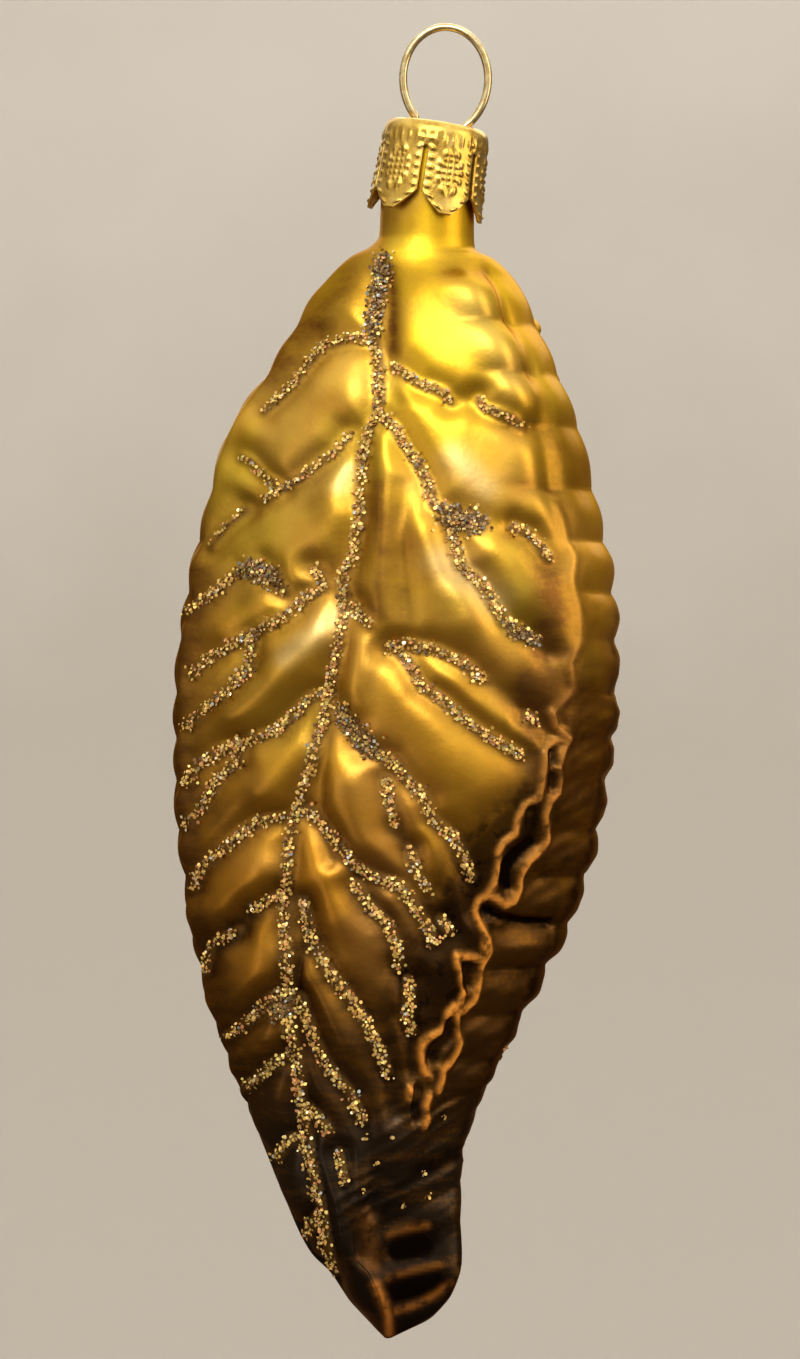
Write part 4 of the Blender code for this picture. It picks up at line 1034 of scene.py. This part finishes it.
def lacquer_material():
    n = Nodes("lacquered_glass")
    height, dark, rubbed, glued, deep, pale = (n.mask(name) for name in LACQUER_MASKS)
    cloudy = n.noise(140.0, detail=3.0)
    shifted = n.plus(height, n.times(n.maths("SUBTRACT", cloudy), 0.10))
    grain = n.noise(2600.0, detail=2.0)
    streaks = n.noise(620.0, detail=3.0, roughness=0.6, stretch=(0.3, 0.3, 1.0))
    mottled = n.plus(dark, n.times(n.maths("SUBTRACT", grain), 0.22))
    streaky = n.ramp(dark, [(0.45, 0.1), (0.8, 1.0)])
    streaky = n.times(n.maths("SUBTRACT", streaks), streaky)
    mottled = n.plus(mottled, streaky, clamp=True)
    mottled = n.times(mottled, n.ramp(dark, [(0.0, 0), (0.12, 1)]), clamp=True)
    stained = n.ramp(n.noise(170.0, detail=2.0), [(0.48, 0), (0.72, 0.5)])
    lacquer = n.ramp(shifted, LACQUER_BANDS)
    olive = n.ramp(height, [(0.48, OLIVE), (0.62, (0.40, 0.17, 0.008))])
    for scale, strength, tint in ((75.0, 0.55, olive), (95.0, 0.35, ROSY)):
        patches = n.ramp(n.noise(scale, detail=2.0), [(0.47, 0), (0.66, strength)])
        lacquer = n.mix(patches, lacquer, tint)
    # Painted highlights: the pale mask mixes in a pale gold.
    lacquer = n.mix(pale, n.mix(stained, lacquer, STAIN), HIGHLIGHT_GOLD)
    colour = n.mix(mottled, lacquer, n.ramp(height, DARK_BANDS))
    blotched = n.ramp(n.noise(480.0, detail=3.0, roughness=0.6), [(0.4, 0.3), (0.6, 1)])
    # Near black where the deep mask is: dark lacquer, and painted shade in the furrows, pockets and along
    # the outline.
    whole = n.ramp(deep, [(0.7, 0), (0.95, 1)])
    colour = n.mix(n.times(deep, n.larger(blotched, whole)), colour, DEEP_SHADE_AND_LACQUER)
    patchy = n.times(rubbed, n.ramp(n.noise(900.0), [(0.3, 0.3), (0.5, 1)]))
    colour = n.mix(patchy, colour, n.ramp(height, RUBBED_BANDS))
    colour = n.mix(n.times(glued, 0.75), colour, GLUE)
    rough = n.plus(0.34, n.times(grain, 0.10))
    bare = n.ramp(height, [(0.80, 1), (0.86, 0.25)])
    unlit = n.times(n.larger(n.times(dark, bare), deep), 0.8)
    coat = n.ramp(height, [(0.3, 0.22), (0.85, 0.3), (0.92, 0.15)])
    soft = n.bump(n.noise(420.0, detail=3.0), 0.05 * MM)
    return n.finish(
        base_color=colour,
        metallic=n.maths("SUBTRACT", 0.98, n.times(patchy, 0.55)),
        roughness=n.plus(rough, n.times(n.larger(glued, patchy), 0.25)),
        specular_tint=(0.85, 0.55, 0.22, 1.0),
        coat_weight=n.times(coat, n.maths("SUBTRACT", 1.0, unlit)),
        coat_roughness=0.22,
        normal=n.bump(grain, 0.01 * MM, onto=soft),
    )


def glitter_material():
    n = Nodes("glitter")
    colour = n.add("Attribute", attribute_name="flake").outputs["Color"]
    tint = n.noise(900.0)
    tinted = n.mix(n.times(tint, 0.25), colour, (0.9, 0.6, 0.27))
    return n.finish(base_color=tinted, metallic=0.55, roughness=n.plus(0.28, n.times(tint, 0.2)))


def gilt_material():
    n = Nodes("gilt_metal")
    worn = n.noise(700.0, detail=3.0)
    gilt = [(0.3, (0.50, 0.30, 0.05)), (0.55, (0.74, 0.49, 0.10)), (0.8, (0.86, 0.64, 0.20))]
    return n.finish(
        base_color=n.ramp(worn, gilt),
        metallic=1.0,
        roughness=n.plus(0.14, n.times(worn, 0.22)),
        normal=n.bump(n.noise(2500.0, detail=4.0), 0.03 * MM),
    )


def wire_material():
    n = Nodes("hanger_wire")
    streaks = n.noise(1500.0, detail=3.0)
    return n.finish(
        base_color=n.ramp(streaks, [(0.35, (0.62, 0.47, 0.22)), (0.7, (0.84, 0.73, 0.44))]),
        metallic=1.0,
        roughness=n.plus(0.12, n.times(streaks, 0.12)),
        normal=n.bump(streaks, 0.01 * MM),
    )


def dress(piece, node, material):
    piece.data.materials.clear()
    piece.data.materials.append(material)
    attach(piece, "root")
    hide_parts(node)


def make_camera():
    data = bpy.data.cameras.new("camera")
    data.sensor_width = 36.0
    data.lens = 36.0 * -EYE[1] / FRAME_HEIGHT
    data.clip_start = 0.01
    data.clip_end = 50.0
    camera = new_object("camera", data)
    camera.location = Vector(EYE) * MM
    camera.rotation_euler = (math.pi / 2, 0, 0)
    bpy.context.scene.camera = camera


def area_light(name, azimuth, elevation, distance, size, watts, colour):
    """A soft box that looks at the ornament's middle, placed by angles from the camera's side."""
    data = bpy.data.lights.new(name, "AREA")
    data.shape = "RECTANGLE"
    data.size, data.size_y = size
    data.energy = watts
    data.color = colour
    light = new_object(name, data)
    aim = Vector((EYE[0], 0, EYE[2])) * MM
    a, e = math.radians(azimuth), math.radians(elevation)
    away = Vector((math.sin(a) * math.cos(e), -math.cos(a) * math.cos(e), math.sin(e)))
    light.location = aim + away * distance
    light.rotation_euler = away.to_track_quat("Z", "Y").to_euler()
    return light


# The studio, in metres
FLOOR_DROP = 0.5
FLOOR_RADIUS = 1.6
WALL_BEND = 0.9
WALL_TOP = 3.2


def make_studio():
    """A pale floor that curves up into a round wall, which the gold doesn't mirror."""
    profile = [(0.0, 0.0), (FLOOR_RADIUS, 0.0)]
    for k in range(1, 13):
        angle = math.radians(90 * k / 12)
        profile.append((FLOOR_RADIUS + WALL_BEND * math.sin(angle), WALL_BEND * (1 - math.cos(angle))))
    profile.append((FLOOR_RADIUS + WALL_BEND, WALL_TOP))
    bowl = bmesh.new()
    points = [bowl.verts.new((radius, 0, height - FLOOR_DROP)) for radius, height in profile]
    edges = [bowl.edges.new(pair) for pair in zip(points, points[1:])]
    whole_turn = {"cent": (0, 0, 0), "axis": (0, 0, 1), "angle": 2 * math.pi, "steps": 72}
    bmesh.ops.spin(bowl, geom=points + edges, **whole_turn)
    bmesh.ops.remove_doubles(bowl, verts=bowl.verts, dist=1e-5)
    floor = object_from(bowl, "floor")
    floor.data.shade_smooth()
    n = Nodes("pale_floor")
    # Painted light: the floor is darker and the wall grows lighter as it rises, with faint noise.
    place = n.add("TexCoord")
    split = n.add("SeparateXYZ")
    n.link(place.outputs["Object"], split.inputs["Vector"])
    rise = n.times(split.outputs["Z"], 0.9)
    shade = n.plus(rise, n.times(n.noise(9.0), 0.15))
    tone = n.ramp(shade, [(0.0, (0.52, 0.485, 0.44)), (0.4, (0.78, 0.755, 0.71))])
    floor.data.materials.append(n.finish(base_color=tone, roughness=0.9, specular_ior_level=0.1))
    floor.visible_glossy = False


def make_world():
    """Plain soft light: pale from above and a little from in front, warm and dim from below."""
    world = bpy.data.worlds.new("studio")
    world.use_nodes = True
    tree = world.node_tree
    background = tree.nodes["Background"]

    def add(kind, *sources, **settings):
        node = tree.nodes.new("ShaderNode" + kind)
        for key, value in settings.items():
            setattr(node, key, value)
        for slot, source in enumerate(sources):
            if hasattr(source, "is_output"):
                tree.links.new(source, node.inputs[slot])
            else:
                node.inputs[slot].default_value = source
        return node

    place = add("TexCoord")
    bright_side = Vector((0.02, -0.36, 0.93)).normalized()
    aim = add("VectorMath", place.outputs["Generated"], bright_side, operation="DOT_PRODUCT")
    share = add("MapRange", aim.outputs["Value"], -0.3, 0.75)
    curve = add("Math", share.outputs["Result"], 1.8, operation="POWER")
    strength = add("MapRange", curve.outputs[0], 0.0, 1.0, 0.20, 1.30)
    band = add("ValToRGB", share.outputs["Result"])
    band.color_ramp.elements[0].color = (1.0, 0.78, 0.54, 1.0)
    band.color_ramp.elements[1].color = (1.0, 0.96, 0.89, 1.0)
    tree.links.new(strength.outputs["Result"], background.inputs["Strength"])
    tree.links.new(band.outputs["Color"], background.inputs["Color"])
    bpy.context.scene.world = world


def make_lights():
    area_light("key", -8, 36, 0.9, (0.6, 0.5), 3.8, (1.0, 0.97, 0.90))
    area_light("fill_right", 68, 12, 0.9, (0.5, 0.8), 2.6, (1.0, 0.80, 0.56))
    area_light("fill_left", -58, -8, 0.9, (0.4, 0.6), 0.6, (1.0, 0.86, 0.74))
    area_light("spark", -24, 40, 0.9, (0.07, 0.07), 0.2, (1.0, 0.97, 0.92))
    area_light("back", 160, 40, 1.0, (0.9, 0.9), 3.5, (1.0, 0.97, 0.92))
    area_light("back_left", -160, 25, 1.2, (0.6, 0.8), 1.2, (1.0, 0.95, 0.88))
    wash = area_light("wash", 0, 88, 1.6, (1.6, 1.6), 22.0, (1.0, 0.97, 0.93))
    wash.visible_glossy = False


def main():
    scene = bpy.context.scene
    scene.view_settings.view_transform = "Standard"
    make_camera()
    glass = make_glass()
    dress(glass, "glass_leaf", lacquer_material())
    surface_mesh = bmesh.new()
    surface_mesh.from_mesh(glass.data)
    surface = BVHTree.FromBMesh(surface_mesh)
    surface_mesh.free()
    flakes = glitter_material()
    for glitter in make_glitter(surface):
        dress(glitter, "glass_leaf", flakes)
    dress(make_cap(), "crown_cap", gilt_material())
    dress(make_hanger(), "wire_hanger", wire_material())
    make_studio()
    make_world()
    make_lights()


main()
